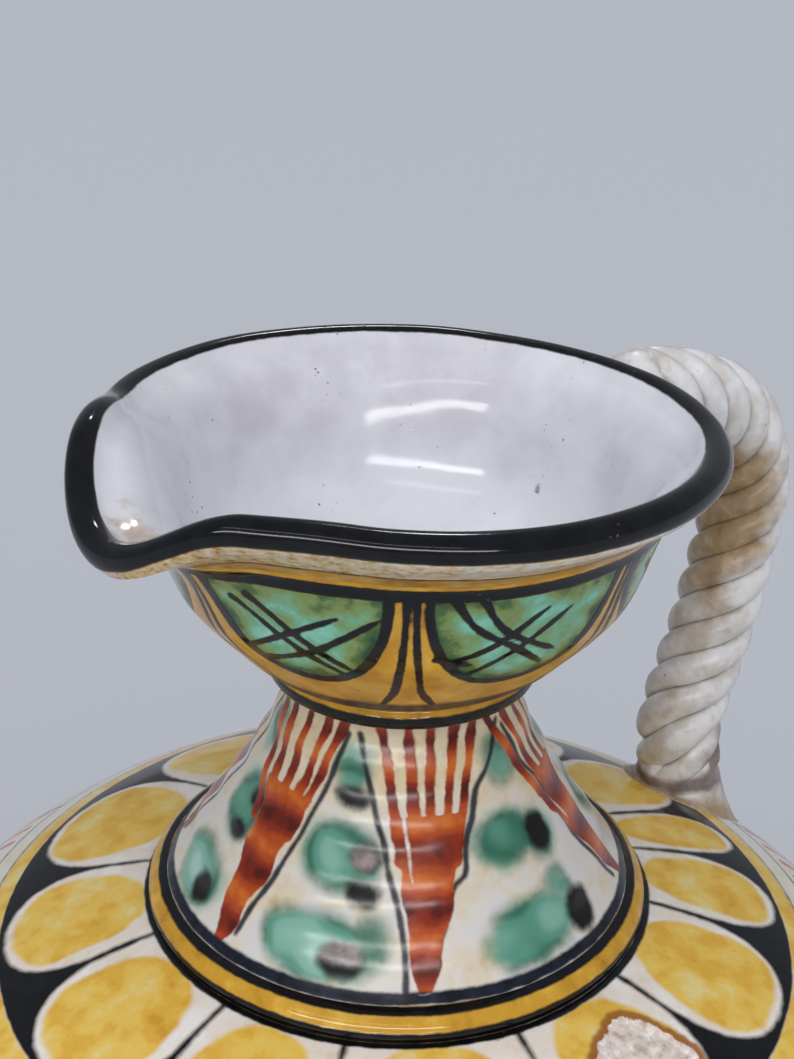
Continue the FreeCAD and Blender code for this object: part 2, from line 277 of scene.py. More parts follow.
def foot_outline():
    """The foot ring's outline, with its edges rounded by the potter's sponge."""
    top = FOOT_TOP
    outside = smooth([(BASE_RADIUS, top), (57.0, 7.3), (59.3, FOOT_BAND), (FOOT_RADIUS - 0.1, 2.4),
                      (FOOT_RADIUS - 0.3, 1.0), (FOOT_RADIUS - 1.4, 0.1)], 26)
    inside = smooth([(FOOT_RADIUS - FOOT_WALL + 1.2, 0.0), (FOOT_RADIUS - FOOT_WALL, 0.8),
                     (49.2, 4.5), (BASE_RADIUS - FOOT_WALL, top)], 12)
    return outside, inside


def neck_radius(share):
    """The neck's radius at a share of the way down: a flare less its finger ridges."""
    flare = NECK_TOP_RADIUS + (NECK_BASE_RADIUS - NECK_TOP_RADIUS) * share ** NECK_FLARE
    return flare - RIDGE_DEPTH * (0.5 - 0.5 * np.cos(2 * np.pi * RIDGES * share))


def neck_outline():
    """The neck's outline: ridged outside, a step under the collar ring, and a smooth bore."""
    share = np.linspace(0, 1, 108)
    outside = np.stack([neck_radius(share), NECK_TOP - share * (NECK_TOP - COLLAR_TOP)], axis=1)
    step = NECK_BASE_RADIUS - COLLAR_STEP
    share = np.linspace(1, 0, 32)
    bore = THROAT + (NECK_BORE - THROAT) * share ** NECK_FLARE
    bore = np.stack([bore, NECK_TOP - share * (NECK_TOP - SEAT_LEVEL)], axis=1)
    return outside, np.concatenate(([(step, COLLAR_TOP - 0.1), (step, SEAT_LEVEL)], bore))


def collar_outline():
    """The collar ring: a half-round bead of clay in the corner between neck and shoulder."""
    outside = smooth([(NECK_BASE_RADIUS - 0.1, COLLAR_TOP), (40.9, COLLAR_TOP - 0.5),
                      (42.3, COLLAR_TOP - 1.7), (42.85, COLLAR_TOP - 3.1),
                      (SEAT_RADIUS + 0.15, SEAT_LEVEL)], 22)
    inner = NECK_BASE_RADIUS - COLLAR_STEP + 0.1
    return outside, np.array([(inner, SEAT_LEVEL), (inner, COLLAR_TOP)])


def ring_outline():
    """The neck ring: a band with rounded edges between neck and bowl."""
    r, low, high, e = RING_RADIUS, NECK_TOP, BOWL_LEVEL, RING_ROUNDING
    outside = smooth([(r - e * 2, high), (r - e * 0.3, high - e * 0.25), (r, high - e),
                      (r, low + e), (r - e * 0.3, low + e * 0.25), (r - e * 2, low)], 26)
    return outside, np.array([(THROAT, low), (THROAT, high)])


def bowl_outline():
    """The bowl's wall: up the outside, over the rolled lip, and down the inside to the throat.

    The inside is the outside moved in by the wall along its normals, then trued as one sweep of
    the potter's rib: a curve of the fifth degree. Each row also has its share of the way from the
    foot to the lip, by which the spout pulls it.
    """
    wide = RIM_RADIUS - BOWL_FOOT
    side = np.array(bowl_outline_shares) * (wide, BOWL_HEIGHT) + (BOWL_FOOT, 0)
    fine = smooth(side, 400)
    slope = np.gradient(fine, axis=0)
    normal = np.stack([slope[:, 1], -slope[:, 0]], axis=1)
    normal /= np.linalg.norm(normal, axis=1)[:, None]
    share = np.linspace(0, 1, len(fine))
    inner = fine - normal * BOWL_WALL
    keep = inner[:, 0] > THROAT + 2
    inner, inner_share = inner[keep][::-1], share[keep][::-1]
    sweep = np.linspace(-1, 1, len(inner))
    inner = np.stack([np.polyval(np.polyfit(sweep, axis, 5), sweep) for axis in inner.T], axis=1)
    centre = np.array([RIM_RADIUS - LIP_ROLL, BOWL_HEIGHT - LIP_ROLL])
    turn = np.radians(np.linspace(LIP_START, LIP_END, 40))
    roll = centre + LIP_ROLL * np.stack([np.cos(turn), np.sin(turn)], axis=1)
    edge = inner[-1, 1]
    throat = np.array([(THROAT + 1, edge / 2), (THROAT, edge / 4), (THROAT, 0)])

    def rows(parts, shares, spacing):
        path = np.column_stack((np.concatenate(parts), np.concatenate(shares)))
        path = spaced(path, int(lengths(path[:, :2])[-1] / spacing))
        path[:, 1] += BOWL_LEVEL
        return path

    outside = rows((fine, roll), (share, np.ones(len(roll))), 0.5)
    inside = rows((roll[-1:], inner[6:], throat), ([1], inner_share[6:], np.zeros(3)), 1.5)[1:]
    return outside, inside


# Faces: the points of a turned piece, before and after it is pulled and dented

class Face:
    """A turned piece as the painter finds it.

    turn and level place a point on the face, run is its distance along the outline, and at is its
    place in space before the clay is pulled. Only the first rows, the outside, take strokes.
    """

    def __init__(self, outside, inside, columns, level, rule=None):
        self.outline = np.concatenate((outside, inside))
        self.rows, self.columns, self.outside = len(self.outline), columns, len(outside)
        self.level = level
        self.turn = np.arange(columns) * (360 / columns) - 180
        self.at = self.points(0)
        self.run = lengths(self.outline)
        if rule is None:
            order = np.argsort(level)
            rule = level[order], self.outline[order], self.run[order]
        else:
            self.run[:self.outside] = level
        self.levels, self.rule_outline, self.rule_run = rule
        self.skin = self.at[:self.outside].reshape(-1, 3)

    def points(self, wobble):
        """The piece's points in space, with its radius changed by a wobble in mm."""
        r, z = self.outline.T
        return round_jug(r[:, None] + wobble, self.turn, z[:, None])

    def bare(self):
        return np.full((self.rows, self.columns), FAR)

    def all_round(self, values):
        """A value for each row, the same all the way round."""
        return np.repeat(values[:, None], self.columns, axis=1)

    def radius(self, level):
        return np.interp(level, self.levels, self.rule_outline[:, 0])

    def place(self, turn, level):
        """Where a brush is, in space, at turns and levels on the outside."""
        height = np.interp(level, self.levels, self.rule_outline[:, 1])
        return round_jug(self.radius(level), turn, height)

    def spread(self, values):
        """Values of the outside's points, with the rest of the piece bare."""
        whole = self.bare()
        whole[:self.outside] = values.reshape(self.outside, self.columns)
        return whole

    def distance(self, spine, radii):
        """Distance from the outside's points to a path of round brush marks with given radii."""
        low, high = spine.min(0) - FAR - radii.max(), spine.max(0) + FAR + radii.max()
        near = np.all((self.skin > low) & (self.skin < high), axis=1)
        points = self.skin[near]
        best = np.full(len(points), FAR)
        for a, b, ra, rb in zip(spine, spine[1:], radii, radii[1:]):
            along = b - a
            size = along @ along + 1e-9
            t = np.clip((points - a) @ along / size, 0, 1)
            gap = points - a - t[:, None] * along
            best = np.minimum(best, np.sqrt((gap * gap).sum(1)) - (ra + (rb - ra) * t))
        values = np.full(len(self.skin), FAR)
        values[near] = best
        return values

    def stroke(self, path, width, ends=(1.0, 1.0), steps=18, shake=0.12):
        """A brush stroke through (turn, level) points, its width eased to each end's share.

        The hand's shake is drawn from the stroke's own place, so it is the same on every face.
        """
        path = smooth(path, steps)
        share = np.linspace(0, 1, steps)
        ease = np.interp(share, [0, 0.12, 0.88, 1], [ends[0], 1, 1, ends[1]])
        draw = np.random.default_rng(int(abs(path[:2] * (97, 31)).sum() * 10))
        swell = 1 + shake * np.interp(share, np.linspace(0, 1, 7), draw.uniform(-1, 1, 7))
        spine = self.place(path[:, 0], path[:, 1])
        return self.spread(self.distance(spine, width / 2 * ease * swell))

    def patch(self, outline):
        """A filled shape from a closed outline of (turn, level) points: less than 0 inside."""
        outline = np.asarray(outline, float)
        closed = np.concatenate((outline, outline[:1]))
        spine = self.place(closed[:, 0], closed[:, 1])
        gap = self.distance(spine, np.zeros(len(spine)))
        turn = np.broadcast_to(self.turn, (self.outside, self.columns)).ravel()
        level = np.repeat(self.level, self.columns)
        middle = outline[:, 0].mean()
        turn = wrapped(turn - middle) + middle
        near = (level >= outline[:, 1].min()) & (level <= outline[:, 1].max())
        near &= (turn >= outline[:, 0].min()) & (turn <= outline[:, 0].max())
        inside = np.zeros(len(turn), bool)
        t, v = turn[near], level[near]
        crossed = np.zeros(len(t), bool)
        for (ta, va), (tb, vb) in zip(closed, closed[1:]):
            if va != vb:
                spans = (va > v) != (vb > v)
                crossed ^= spans & (t < (tb - ta) * (v - va) / (vb - va) + ta)
        inside[near] = crossed
        return self.spread(np.where(inside, -gap, gap))

    def blot(self, turn, level, across, along, tilt=0):
        """An oval touch of the brush with half sizes in mm.

        q = sqrt((u / across)^2 + (v / along)^2) is 1 on its edge. The distance is q - 1 over the
        slope of q outside, and inside it is (q^2 - 1) / 2 of the mean half size, which is smooth
        at the middle.
        """
        middle_run = np.interp(level, self.levels, self.rule_run)
        u = np.radians(wrapped(self.turn - turn)) * self.outline[:self.outside, :1]
        v = np.broadcast_to((self.run[:self.outside] - middle_run)[:, None], u.shape)
        c, s = math.cos(math.radians(tilt)), math.sin(math.radians(tilt))
        u, v = c * u + s * v, c * v - s * u
        q = np.sqrt((u / across) ** 2 + (v / along) ** 2) + 1e-6
        steep = np.sqrt((u / across**2) ** 2 + (v / along**2) ** 2) + 1e-6    # q times its slope
        gap = np.where(q > 1, q * (q - 1) / steep, (q * q - 1) / 2 * math.sqrt(across * along))
        return self.spread(np.clip(gap, -FAR * 2, FAR))

    def band(self, low, high):
        """A ring painted between two levels, measured along the outline."""
        ends = np.sort(np.interp([low, high], self.levels, self.rule_run))
        middle, half = ends.mean(), (ends[1] - ends[0]) / 2
        gap = np.abs(self.run[:self.outside] - middle) - half
        return self.spread(self.all_round(np.clip(gap, -FAR, FAR)))


def joined(*shapes):
    """One painted shape from several: the least of their distances."""
    return np.minimum.reduce(shapes)


# Meshes

def skin(name, points, marks, poles=False):
    """A closed skin over a grid of points whose rows and columns both wrap round.

    With poles the rows don't wrap, and a point at the middle of the first and last rows closes
    each end. The faces are turned outwards if the volume they enclose comes out negative.
    """
    rows, columns = points.shape[:2]
    co = points.reshape(-1, 3)
    i, j = np.meshgrid(np.arange(rows if not poles else rows - 1), np.arange(columns),
                       indexing="ij")
    down, right = (i + 1) % rows, (j + 1) % columns
    quads = np.stack([i * columns + j, i * columns + right, down * columns + right,
                      down * columns + j], axis=-1).reshape(-1, 4)
    tri = np.empty((0, 3), int)
    if poles:
        ends = np.array([points[0].mean(0), points[-1].mean(0)])
        first, last = len(co), len(co) + 1
        co = np.concatenate((co, ends))
        j = np.arange(columns)
        right = (j + 1) % columns
        start = np.stack([np.full(columns, first), right, j], axis=1)
        base = (rows - 1) * columns
        stop = np.stack([np.full(columns, last), base + j, base + right], axis=1)
        tri = np.concatenate((start, stop))
    a, b, c, d = (co[quads[:, k]] for k in range(4))
    volume = np.einsum("ij,ij->", a, np.cross(b, c)) + np.einsum("ij,ij->", a, np.cross(c, d))
    if poles:
        p, q, r = (co[tri[:, k]] for k in range(3))
        volume += np.einsum("ij,ij->", p, np.cross(q, r))
    if volume < 0:
        quads, tri = quads[:, ::-1], tri[:, ::-1]
    mesh = bpy.data.meshes.new(name)
    mesh.vertices.add(len(co))
    mesh.vertices.foreach_set("co", (co * MM).astype(np.float32).ravel())
    corners = np.concatenate((quads.ravel(), tri.ravel()))
    mesh.loops.add(len(corners))
    mesh.loops.foreach_set("vertex_index", corners.astype(np.int32))
    sizes = np.concatenate((np.full(len(quads), 4), np.full(len(tri), 3)))
    starts = np.concatenate(([0], np.cumsum(sizes)[:-1]))
    mesh.polygons.add(len(sizes))
    mesh.polygons.foreach_set("loop_start", starts.astype(np.int32))
    mesh.polygons.foreach_set("use_smooth", np.ones(len(sizes), bool))
    mesh.update(calc_edges=True)
    for mark, values in marks.items():
        values = np.asarray(values, float).ravel()
        if poles:
            values = np.concatenate((values, [values[0], values[-1]]))
        layer = mesh.attributes.new(mark, "FLOAT", "POINT")
        layer.data.foreach_set("value", values.astype(np.float32))
    mesh.set_sharp_from_angle(angle=math.radians(SHARP))
    mesh.validate()
    piece = bpy.data.objects.new(name, mesh)
    bpy.context.collection.objects.link(piece)
    return piece


def set_down(piece, node, finish):
    """Gives a piece its finish and its place on the jug's one body, and hides the node it stands
    for.
    """
    piece.data.materials.append(finish)
    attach(piece, "root")
    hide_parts(node)


# Nodes

def linear(code):
    """A colour socket's value from an sRGB hex code."""
    parts = [int(code[i:i + 2], 16) / 255 for i in (1, 3, 5)]
    return (*[p / 12.92 if p <= 0.04045 else ((p + 0.055) / 1.055) ** 2.4 for p in parts], 1)


def per_mm(size):
    """A texture's scale for a feature of a size in millimetres, on coordinates in metres."""
    return 1 / (size * MM)


def add(tree, kind, *given, out=0, sockets=(), **settings):
    """Adds a node, sets it up, gives its inputs values or links, and returns one of its outputs."""
    made = tree.nodes.new("ShaderNode" + kind)
    for name, value in settings.items():
        setattr(made, name, value)
    active = [socket for socket in made.inputs if socket.enabled]
    pairs = list(zip(active, given)) + [(made.inputs[name], v) for name, v in dict(sockets).items()]
    for socket, value in pairs:
        if isinstance(value, bpy.types.NodeSocket):
            tree.links.new(value, socket)
        elif value is not None:
            socket.default_value = value
    if out is None:
        return None
    if isinstance(out, str):
        return made.outputs[out]
    return [socket for socket in made.outputs if socket.enabled][out]


def shade(tree, value, shades):
    """A colour from a value: a ramp through (value, hex) pairs, smooth between them."""
    low, high = shades[0][0], shades[-1][0]
    share = add(tree, "MapRange", value, low, high, 0.0, 1.0)
    output = add(tree, "ValToRGB", share)
    ramp = output.node.color_ramp
    ramp.interpolation = "EASE"
    stops = ramp.elements
    while len(stops) < len(shades):
        stops.new(0.5)
    for stop, (at, _) in zip(stops, shades):
        stop.position = (at - low) / (high - low)
    for stop, (_, code) in zip(stops, shades):
        stop.color = linear(code)
    return output


def mottle(tree, place, size, detail=3.0, shift=0.0):
    """Cloudy values about 0, from -0.5 to 0.5, with clouds of a size in mm."""
    moved = add(tree, "Mapping", place, (shift, shift * 0.7, 0))
    cloud = add(tree, "TexNoise", moved, sockets={"Scale": per_mm(size), "Detail": detail,
                                                 "Roughness": 0.55})
    return add(tree, "Math", cloud, 0.5, operation="SUBTRACT")


def cover(tree, place, mark, soft, wander, size=2.5, shift=0.0):
    """Where a painted shape lies: 1 inside, 0 outside, over a soft edge in mm that wanders."""
    edge = add(tree, "Attribute", attribute_name=mark, out="Fac")
    drift = mottle(tree, place, size, shift=shift)
    edge = add(tree, "Math", drift, wander * 2, edge, operation="MULTIPLY_ADD")
    return add(tree, "MapRange", edge, soft, -soft, 0.0, 1.0, interpolation_type="SMOOTHSTEP")


class Glaze:
    """A material built up as the painter works: a ground, then layers of colour, then the shine."""

    def __init__(self, name):
        self.finish = bpy.data.materials.new(name)
        self.finish.use_nodes = True
        self.tree = self.finish.node_tree
        self.tree.nodes.clear()
        self.place = add(self.tree, "TexCoord", out="Object")
        self.colour = None
        self.relief = 0.0
        self.layers = 0

    def ground(self, shades, size):
        """The bare glaze: a cloudy mix of its shades, with clouds of a size in mm."""
        cloud = mottle(self.tree, self.place, size, detail=4.0)
        self.colour = shade(self.tree, cloud, shades)

    def raised(self, amount, height):
        """Lifts the surface by a height in mm where an amount lies."""
        self.relief = add(self.tree, "Math", amount, height, self.relief, operation="MULTIPLY_ADD")

    def paint(self, mark, shades, soft=0.25, wander=0.25, size=2.5, cloud=3.0, fine=4.0, sway=0.5,
              by=None, strength=1.0, raise_by=0.0):
        """One layer of colour over a marked shape.

        Its shades run with the clouds, or with the value named by `by`, which the clouds sway.
        """
        tree, place = self.tree, self.place
        self.layers += 1
        shift = self.layers * 0.37
        amount = cover(tree, place, mark, soft, wander, size, shift)
        amount = add(tree, "Math", amount, strength, operation="MULTIPLY")
        value = mottle(tree, place, cloud, detail=fine, shift=shift + 0.11)
        if by:
            base = add(tree, "Attribute", attribute_name=by, out="Fac")
            value = add(tree, "Math", value, sway * 2, base, operation="MULTIPLY_ADD")
        self.colour = add(tree, "Mix", amount, self.colour, shade(tree, value, shades),
                          data_type="RGBA")
        self.raised(amount, raise_by)

    def specks(self, code, size, share, spread=12.0):
        """Small dark specks and pinholes, gathered in loose groups."""
        tree = self.tree
        dots = add(tree, "TexVoronoi", self.place, sockets={"Scale": per_mm(size)},
                   out="Distance")
        dots = add(tree, "MapRange", dots, 0.16, 0.08, 0.0, 1.0)
        group = mottle(tree, self.place, spread, detail=2.0, shift=0.9)
        group = add(tree, "MapRange", group, 0.5 - share, 0.6 - share, 0.0, SPECK_STRENGTH)
        hole = add(tree, "Math", dots, group, operation="MULTIPLY")
        self.colour = add(tree, "Mix", hole, self.colour, linear(code), data_type="RGBA")
        self.raised(hole, -0.1)

    def fire(self, roughness=0.1, skin_size=4.0, skin_depth=0.02, dull=None):
        """The glassy shine, with the slight waves of a glaze that has flowed and set.

        Where the amount called dull covers it, the surface is as rough as bare clay.
        """
        tree = self.tree
        self.raised(mottle(tree, self.place, skin_size, detail=2.0, shift=0.5), skin_depth)
        normal = add(tree, "Bump", sockets={"Strength": 1.0, "Distance": MM,
                                            "Height": self.relief})
        cloud = mottle(tree, self.place, 9.0, shift=0.7)
        shine = add(tree, "Math", cloud, roughness * 0.6, roughness, operation="MULTIPLY_ADD")
        if dull:
            shine = add(tree, "Mix", dull, shine, CLAY_ROUGHNESS, data_type="FLOAT")
        sockets = {"Base Color": self.colour, "Normal": normal, "IOR": GLAZE_IOR,
                   "Roughness": shine, "Specular IOR Level": SHINE}
        surface = add(tree, "BsdfPrincipled", sockets=sockets)
        add(tree, "OutputMaterial", surface, out=None)
        return self.finish


# The painter's colours: oxides under and in a tin glaze
INK = [(-0.2, "#07080c"), (0.2, "#111218")]
BLUE_BLACK = [(-0.2, "#0d1018"), (0.2, "#1c2233")]
PETAL = [(-0.24, "#cd9832"), (-0.1, "#dcae42"), (0.04, "#e4bf5a"), (0.2, "#e2cf8a")]
RUST = [(0.0, "#53170e"), (0.3, "#842a12"), (0.65, "#ab4619"), (1.0, "#c86a28")]
GREEN = [(-6.2, "#a3c7bc"), (-4.0, "#7dad9d"), (-2.3, "#57917d"), (-0.8, "#366c58"),
         (0.4, "#4b826e"), (1.6, "#82ae9f")]
LEAF = [(-6.0, "#9bd6c9"), (-4.7, "#80c5b0"), (-3.6, "#76ab85"), (-2.5, "#7d9458"),
        (-1.3, "#4a6a3a"), (0.0, "#294630")]


# The mouth bowl

# Turns of each lunette's two sides, spaced by eye as they are painted
lunette_sides = [(-42.6, -2.9), (5.0, 47.8), (54.5, 99.0), (106.0, 151.0), (157.5, 201.5),
                 (208.5, 252.5), (259.5, 306.5)]
LUNETTE_TOP = 26.9
LUNETTE_DEPTH = 16.6
LUNETTE_POWER = 2.25
UNDERSIDE = 12.0              # level up to which the bowl's underside is dull
UNDERSIDE_DULL = 0.35
LIP_ROOM = 0.18               # the lip lies this much lower, so that its waves stay within it

# Strokes across a lunette, from its middle: two ways of crossing, as (turn, level) points
crossed_left = [[(-13.7, 23.8), (-3.7, 18.0), (10.3, 12.3)],
                [(-9.7, 24.8), (0.3, 19.0), (12.3, 13.3)],
                [(-14.0, 14.2), (-3.7, 18.3), (9.6, 23.2)],
                [(-9.0, 12.8), (2.3, 16.0), (18.3, 23.5)]]
crossed_right = [[(-16.5, 27.0), (-12.5, 23.0), (-2.5, 18.0), (6.8, 13.0)],
                 [(-11.0, 27.0), (-6.5, 22.2), (1.5, 18.3), (9.2, 15.3)],
                 [(-17.0, 15.8), (-8.5, 17.8), (3.8, 24.2)],
                 [(-13.0, 12.6), (-2.5, 16.8), (9.8, 23.2)],
                 [(-19.5, 16.6), (-16.0, 15.8), (-11.5, 15.2)]]


def pulled(r, z, share, azimuth):
    """The bowl's spout and oval mouth: rows move out, down and up by their share of the way up."""
    pull = share ** SPOUT_FADE
    spout = azimuth - 180
    r = r + pull * SPOUT_REACH * bump(spout, SPOUT_HALF)
    r = r - pull * MOUTH_OVAL * np.cos(np.radians(2 * azimuth))
    z = z - pull * SPOUT_DIP * bump(spout, SPOUT_DIP_HALF)
    z = z + pull * FRONT_PINCH * bump(spout - PINCH_ANGLE, PINCH_HALF)
    z = z + pull * BACK_PINCH * bump(spout + PINCH_ANGLE, PINCH_HALF)
    return r, z


def lunette_strokes(face):
    """The bowl's black drawing and its green fields, one lunette after another."""
    ink, leaf = [face.band(LUNETTE_TOP, LUNETTE_TOP + 2.1)], []
    across, down = oblong(np.linspace(0, np.pi, 33), LUNETTE_POWER)
    following = [left for left, _ in lunette_sides[1:]] + [lunette_sides[0][0] + 360]
    for number, (left, right) in enumerate(lunette_sides):
        middle, half = (left + right) / 2, (right - left) / 2
        depth = LUNETTE_DEPTH + hand.uniform(-0.3, 0.3)
        edge = np.stack([middle + half * across, LUNETTE_TOP - depth * down], axis=1)
        leaf.append(face.patch(edge))
        ink.append(face.stroke(edge, 1.7, steps=48, shake=0.2))
        for path in crossed_right if number % 2 else crossed_left:
            path = np.array(path) + (middle, 0)
            path[1:-1] += hand.uniform(-0.3, 0.3)
            ink.append(face.stroke(path, 1.1, ends=(1.25, 0.5), shake=0.2))
        stem = (right + following[number]) / 2 + 0.5
        for side, flare in ((-1, 6.8), (1, 7.6)):
            path = [(stem + side * away, level) for away, level in
                    ((0.9, LUNETTE_TOP), (1.2, 21), (2.1, 14), (3.6, 8.4), (flare, 4.4))]
            ink.append(face.stroke(path, 1.2, ends=(1.1, 0.7), shake=0.2))
    return joined(*ink), joined(*leaf)


def bowl_finish():
    """Majolica: a white tin glaze inside and on the lip, brushed ochre and green outside.

    Tin oxide makes the glaze milky and glossy; the colours sink into it and pool at their edges.
    """
    glaze = Glaze("tin_glaze_brushed_bowl")
    glaze.ground([(-0.24, "#a06c22"), (-0.08, "#c28a2c"), (0.06, "#d19f3a"), (0.22, "#dcb555")],
                 6.0)
    glaze.paint("leaf", LEAF, soft=0.3, wander=0.3, by="leaf", sway=4.2, cloud=5.0)
    glaze.paint("yellow", [(-0.2, "#9a6d2c"), (0.0, "#bb8d3e"), (0.2, "#cba557")], cloud=5.0)
    glaze.paint("cream", [(-0.24, "#a8743a"), (-0.07, "#d3b98f"), (0.04, "#e2d3bb"),
                          (0.2, "#ece5da")], soft=0.3, wander=0.3, by="wiped", sway=0.45, cloud=1.3)
    glaze.paint("shadow_line", [(-0.2, "#33251b"), (0.2, "#6b5236")], soft=0.35, wander=0.2)
    glaze.paint("foot_shadow", [(-0.2, "#2e1d0e"), (0.2, "#54390f")], soft=0.9, wander=0.3,
                strength=1.0)
    glaze.paint("white", [(-0.25, "#cfcfd8"), (0.0, "#dbdce3"), (0.2, "#e3e5ea")], soft=0.3,
                wander=0.3, cloud=15.0)
    # A grey-mauve cloud over the far inside wall: painted shade that darkens it, partly a greyer
    # glaze tint
    glaze.paint("far_wall_tint_and_shade", [(-0.2, "#b3afba"), (0.2, "#cbc8d1")], soft=6.0, wander=5.0, size=9.0,
                strength=0.6, cloud=7.0)
    # Ochre left by what was poured, on the spout's left cheek: a real stain, with no shade in it
    glaze.paint("grime_and_shade", [(-0.2, "#97754a"), (0.1, "#bf9f6c"), (0.2, "#d3bb92")], soft=1.0,
                wander=2.4, size=2.5, strength=0.55, cloud=2.0)
    glaze.paint("ink", INK, soft=0.16, wander=0.22, size=1.6, raise_by=0.12)
    glaze.paint("lip", INK, soft=0.2, wander=0.25, size=4.0, raise_by=0.15)
    glaze.specks("#5b5148", 1.7, 0.43, spread=11.0)
    glaze.paint("spot", INK, soft=0.25, wander=0.3, size=1.2)
    matt = cover(glaze.tree, glaze.place, "under", 5.0, 1.0, 6.0)
    matt = add(glaze.tree, "Math", matt, UNDERSIDE_DULL, operation="MULTIPLY")
    return glaze.fire(roughness=0.1, skin_depth=0.02, dull=matt)


# A dark speck of glaze on the inside of the bowl: its place and its radius
INSIDE_SPOT, SPOT_RADIUS = (33.0, 4.5, 238.8), 0.8

# Rings painted round the bowl: the run of each one's middle from the lip's crest, and half width
bowl_rings = {"yellow": (-13.3, 1.4), "cream": (-8.6, 3.8), "shadow_line": (-12.2, 0.35),
              "lip": (-1.4, 3.6)}

# Ovals inside the bowl: turn and run of the middle, half sizes in degrees and mm, and slope.
# Ochre is left by what was poured, on the spout's left cheek; a grey-mauve cloud on the far wall
# is painted shade that darkens it, partly a greyer tint of the glaze.
bowl_ovals = {"grime_and_shade": (-40.0, 5.5, 17.0, 4.0, 3.0), "far_wall_tint_and_shade": (-170.0, 13.0, 62.0, 12.0, 12.0)}


def oval(face, run, turn, depth, wide, high, slope):
    """An oval inside the bowl: its slope times sqrt((turn / wide)^2 + (run / high)^2) - 1."""
    away = np.abs(wrapped(face.turn - turn)) / wide
    down = np.abs(run - depth)[:, None] / high
    return (np.sqrt(away**2 + down**2) - 1) * slope


def make_bowl():
    """The mouth bowl: its wall turned round the jug, then pulled out and dented at the spout."""
    outside, inside = bowl_outline()
    crest = int(np.argmax(outside[:, 1]))
    level = outside[:, 1] - BOWL_LEVEL
    level[crest:] = 2 * level[crest] - level[crest:]
    face = Face(outside[:, :2], inside[:, :2], 600, level)
    run = face.run - face.run[crest]
    ink, leaf = lunette_strokes(face)
    wiped = np.interp(face.turn, [-60.0, -10.0, 30.0], [-0.14, -0.02, 0.16])
    under = np.clip(level - UNDERSIDE, -2 * FAR, FAR)
    marks = {
        "ink": ink,
        "leaf": leaf,
        "foot_shadow": face.band(1.3, 4.5),
        "under": face.spread(face.all_round(under)),
        "wiped": np.tile(wiped, (face.rows, 1)),
        "spot": np.linalg.norm(face.at - INSIDE_SPOT, axis=-1) - SPOT_RADIUS,
        "white": face.all_round(2.0 - run),
    }
    for mark, (middle, half) in bowl_rings.items():
        marks[mark] = face.all_round(np.abs(run - middle) - half)
    for mark, place in bowl_ovals.items():
        marks[mark] = oval(face, run, *place)
    share = np.concatenate((outside, inside))[:, 2:]
    r, z = (column[:, None] for column in face.outline.T)
    r = r + uneven(face.at, (0.18, 16.0, 3), (0.06, 6.0, 4))
    r, z = pulled(r, z, share, face.turn + FRONT)
    z = z + (uneven(face.at, (0.12, 12.0, 5)) - LIP_ROOM) * share
    piece = skin("mouth_bowl_glazed", round_jug(r, face.turn, z), marks)
    set_down(piece, "mouth_bowl", bowl_finish())


# The neck

NECK_DEPTH = NECK_TOP - COLLAR_TOP
WEDGE_LENGTH = 36.4
WARM_TO = 13.0                # depth down to which the glaze is a warm cream

# Half width of a rust wedge, in mm, at depths below the neck's top
wedge_depths = [0.0, 5.0, 14.5, 18.0, 23.0, 27.5, 32.0, 34.5, WEDGE_LENGTH]
wedge_halves = [9.2, 7.9, 6.5, 5.3, 4.2, 3.5, 2.3, 2.0, 1.2]

# Each wedge: turn of its top, turn of its tip, share of the full width, shares of its strokes
wedges = [(15.0, 7.0, 1.0, (-1.0, -0.46, 0.0, 0.52, 0.98)),
          (-49.0, -47.0, 0.95, (-1.25, -0.7, -0.05, 0.55, 0.95)),
          (66.0, 83.0, 0.9, (-1.0, -0.4, 0.2, 0.8)),
          (-106.0, -97.0, 0.85, (-1.0, -0.45, 0.1, 0.7)),
          (130.0, 139.0, 0.95, (-1.0, -0.5, 0.0, 0.5, 1.0)),
          (-165.0, -158.0, 0.9, (-1.0, -0.4, 0.1, 0.6, 1.0))]

# The blue lines beside each wedge, as (turn, depth) points
wedge_lines = [[(-19.5, 3.2), (-11.2, 11.0), (-7.5, 15.0), (-4.7, 18.0), (-2.3, 22.0), (0, 25.0),
                (1.9, 29.0), (2.8, 33.0), (2.8, 37.0)],
               [(53.0, 3.6), (46.7, 6.0), (37.5, 10.0), (31.0, 12.5), (28.0, 15.0), (23.4, 19.0),
                (22.0, 21.8), (16.9, 24.0), (15.0, 27.0), (11.3, 30.2), (9.8, 31.8)],
               [(-25.2, 3.6), (-28.0, 8.0), (-30.8, 13.0), (-33.6, 17.0), (-36.5, 22.0),
                (-39.3, 26.8), (-42.0, 31.5), (-43.0, 34.5)],
               [(56.0, 4.8), (60.0, 10.8), (65.5, 15.0), (69.0, 22.0), (73.5, 29.0), (78.0, 35.0)],
               [(-80.0, 0.5), (-83.0, 10.0), (-87.0, 20.0), (-92.0, 30.0), (-94.5, 35.0)],
               [(-128.0, 0.5), (-117.0, 12.0), (-106.0, 24.0), (-100.0, 35.0)],
               [(104.0, 0.5), (118.0, 10.0), (128.0, 22.0), (136.0, 35.0)],
               [(155.0, 0.5), (150.0, 12.0), (145.0, 24.0), (141.0, 33.0)],
               [(-141.0, 0.5), (-147.0, 12.0), (-152.0, 24.0), (-156.0, 35.0)],
               [(-188.0, 0.5), (-178.0, 12.0), (-168.0, 24.0), (-161.0, 33.0)]]

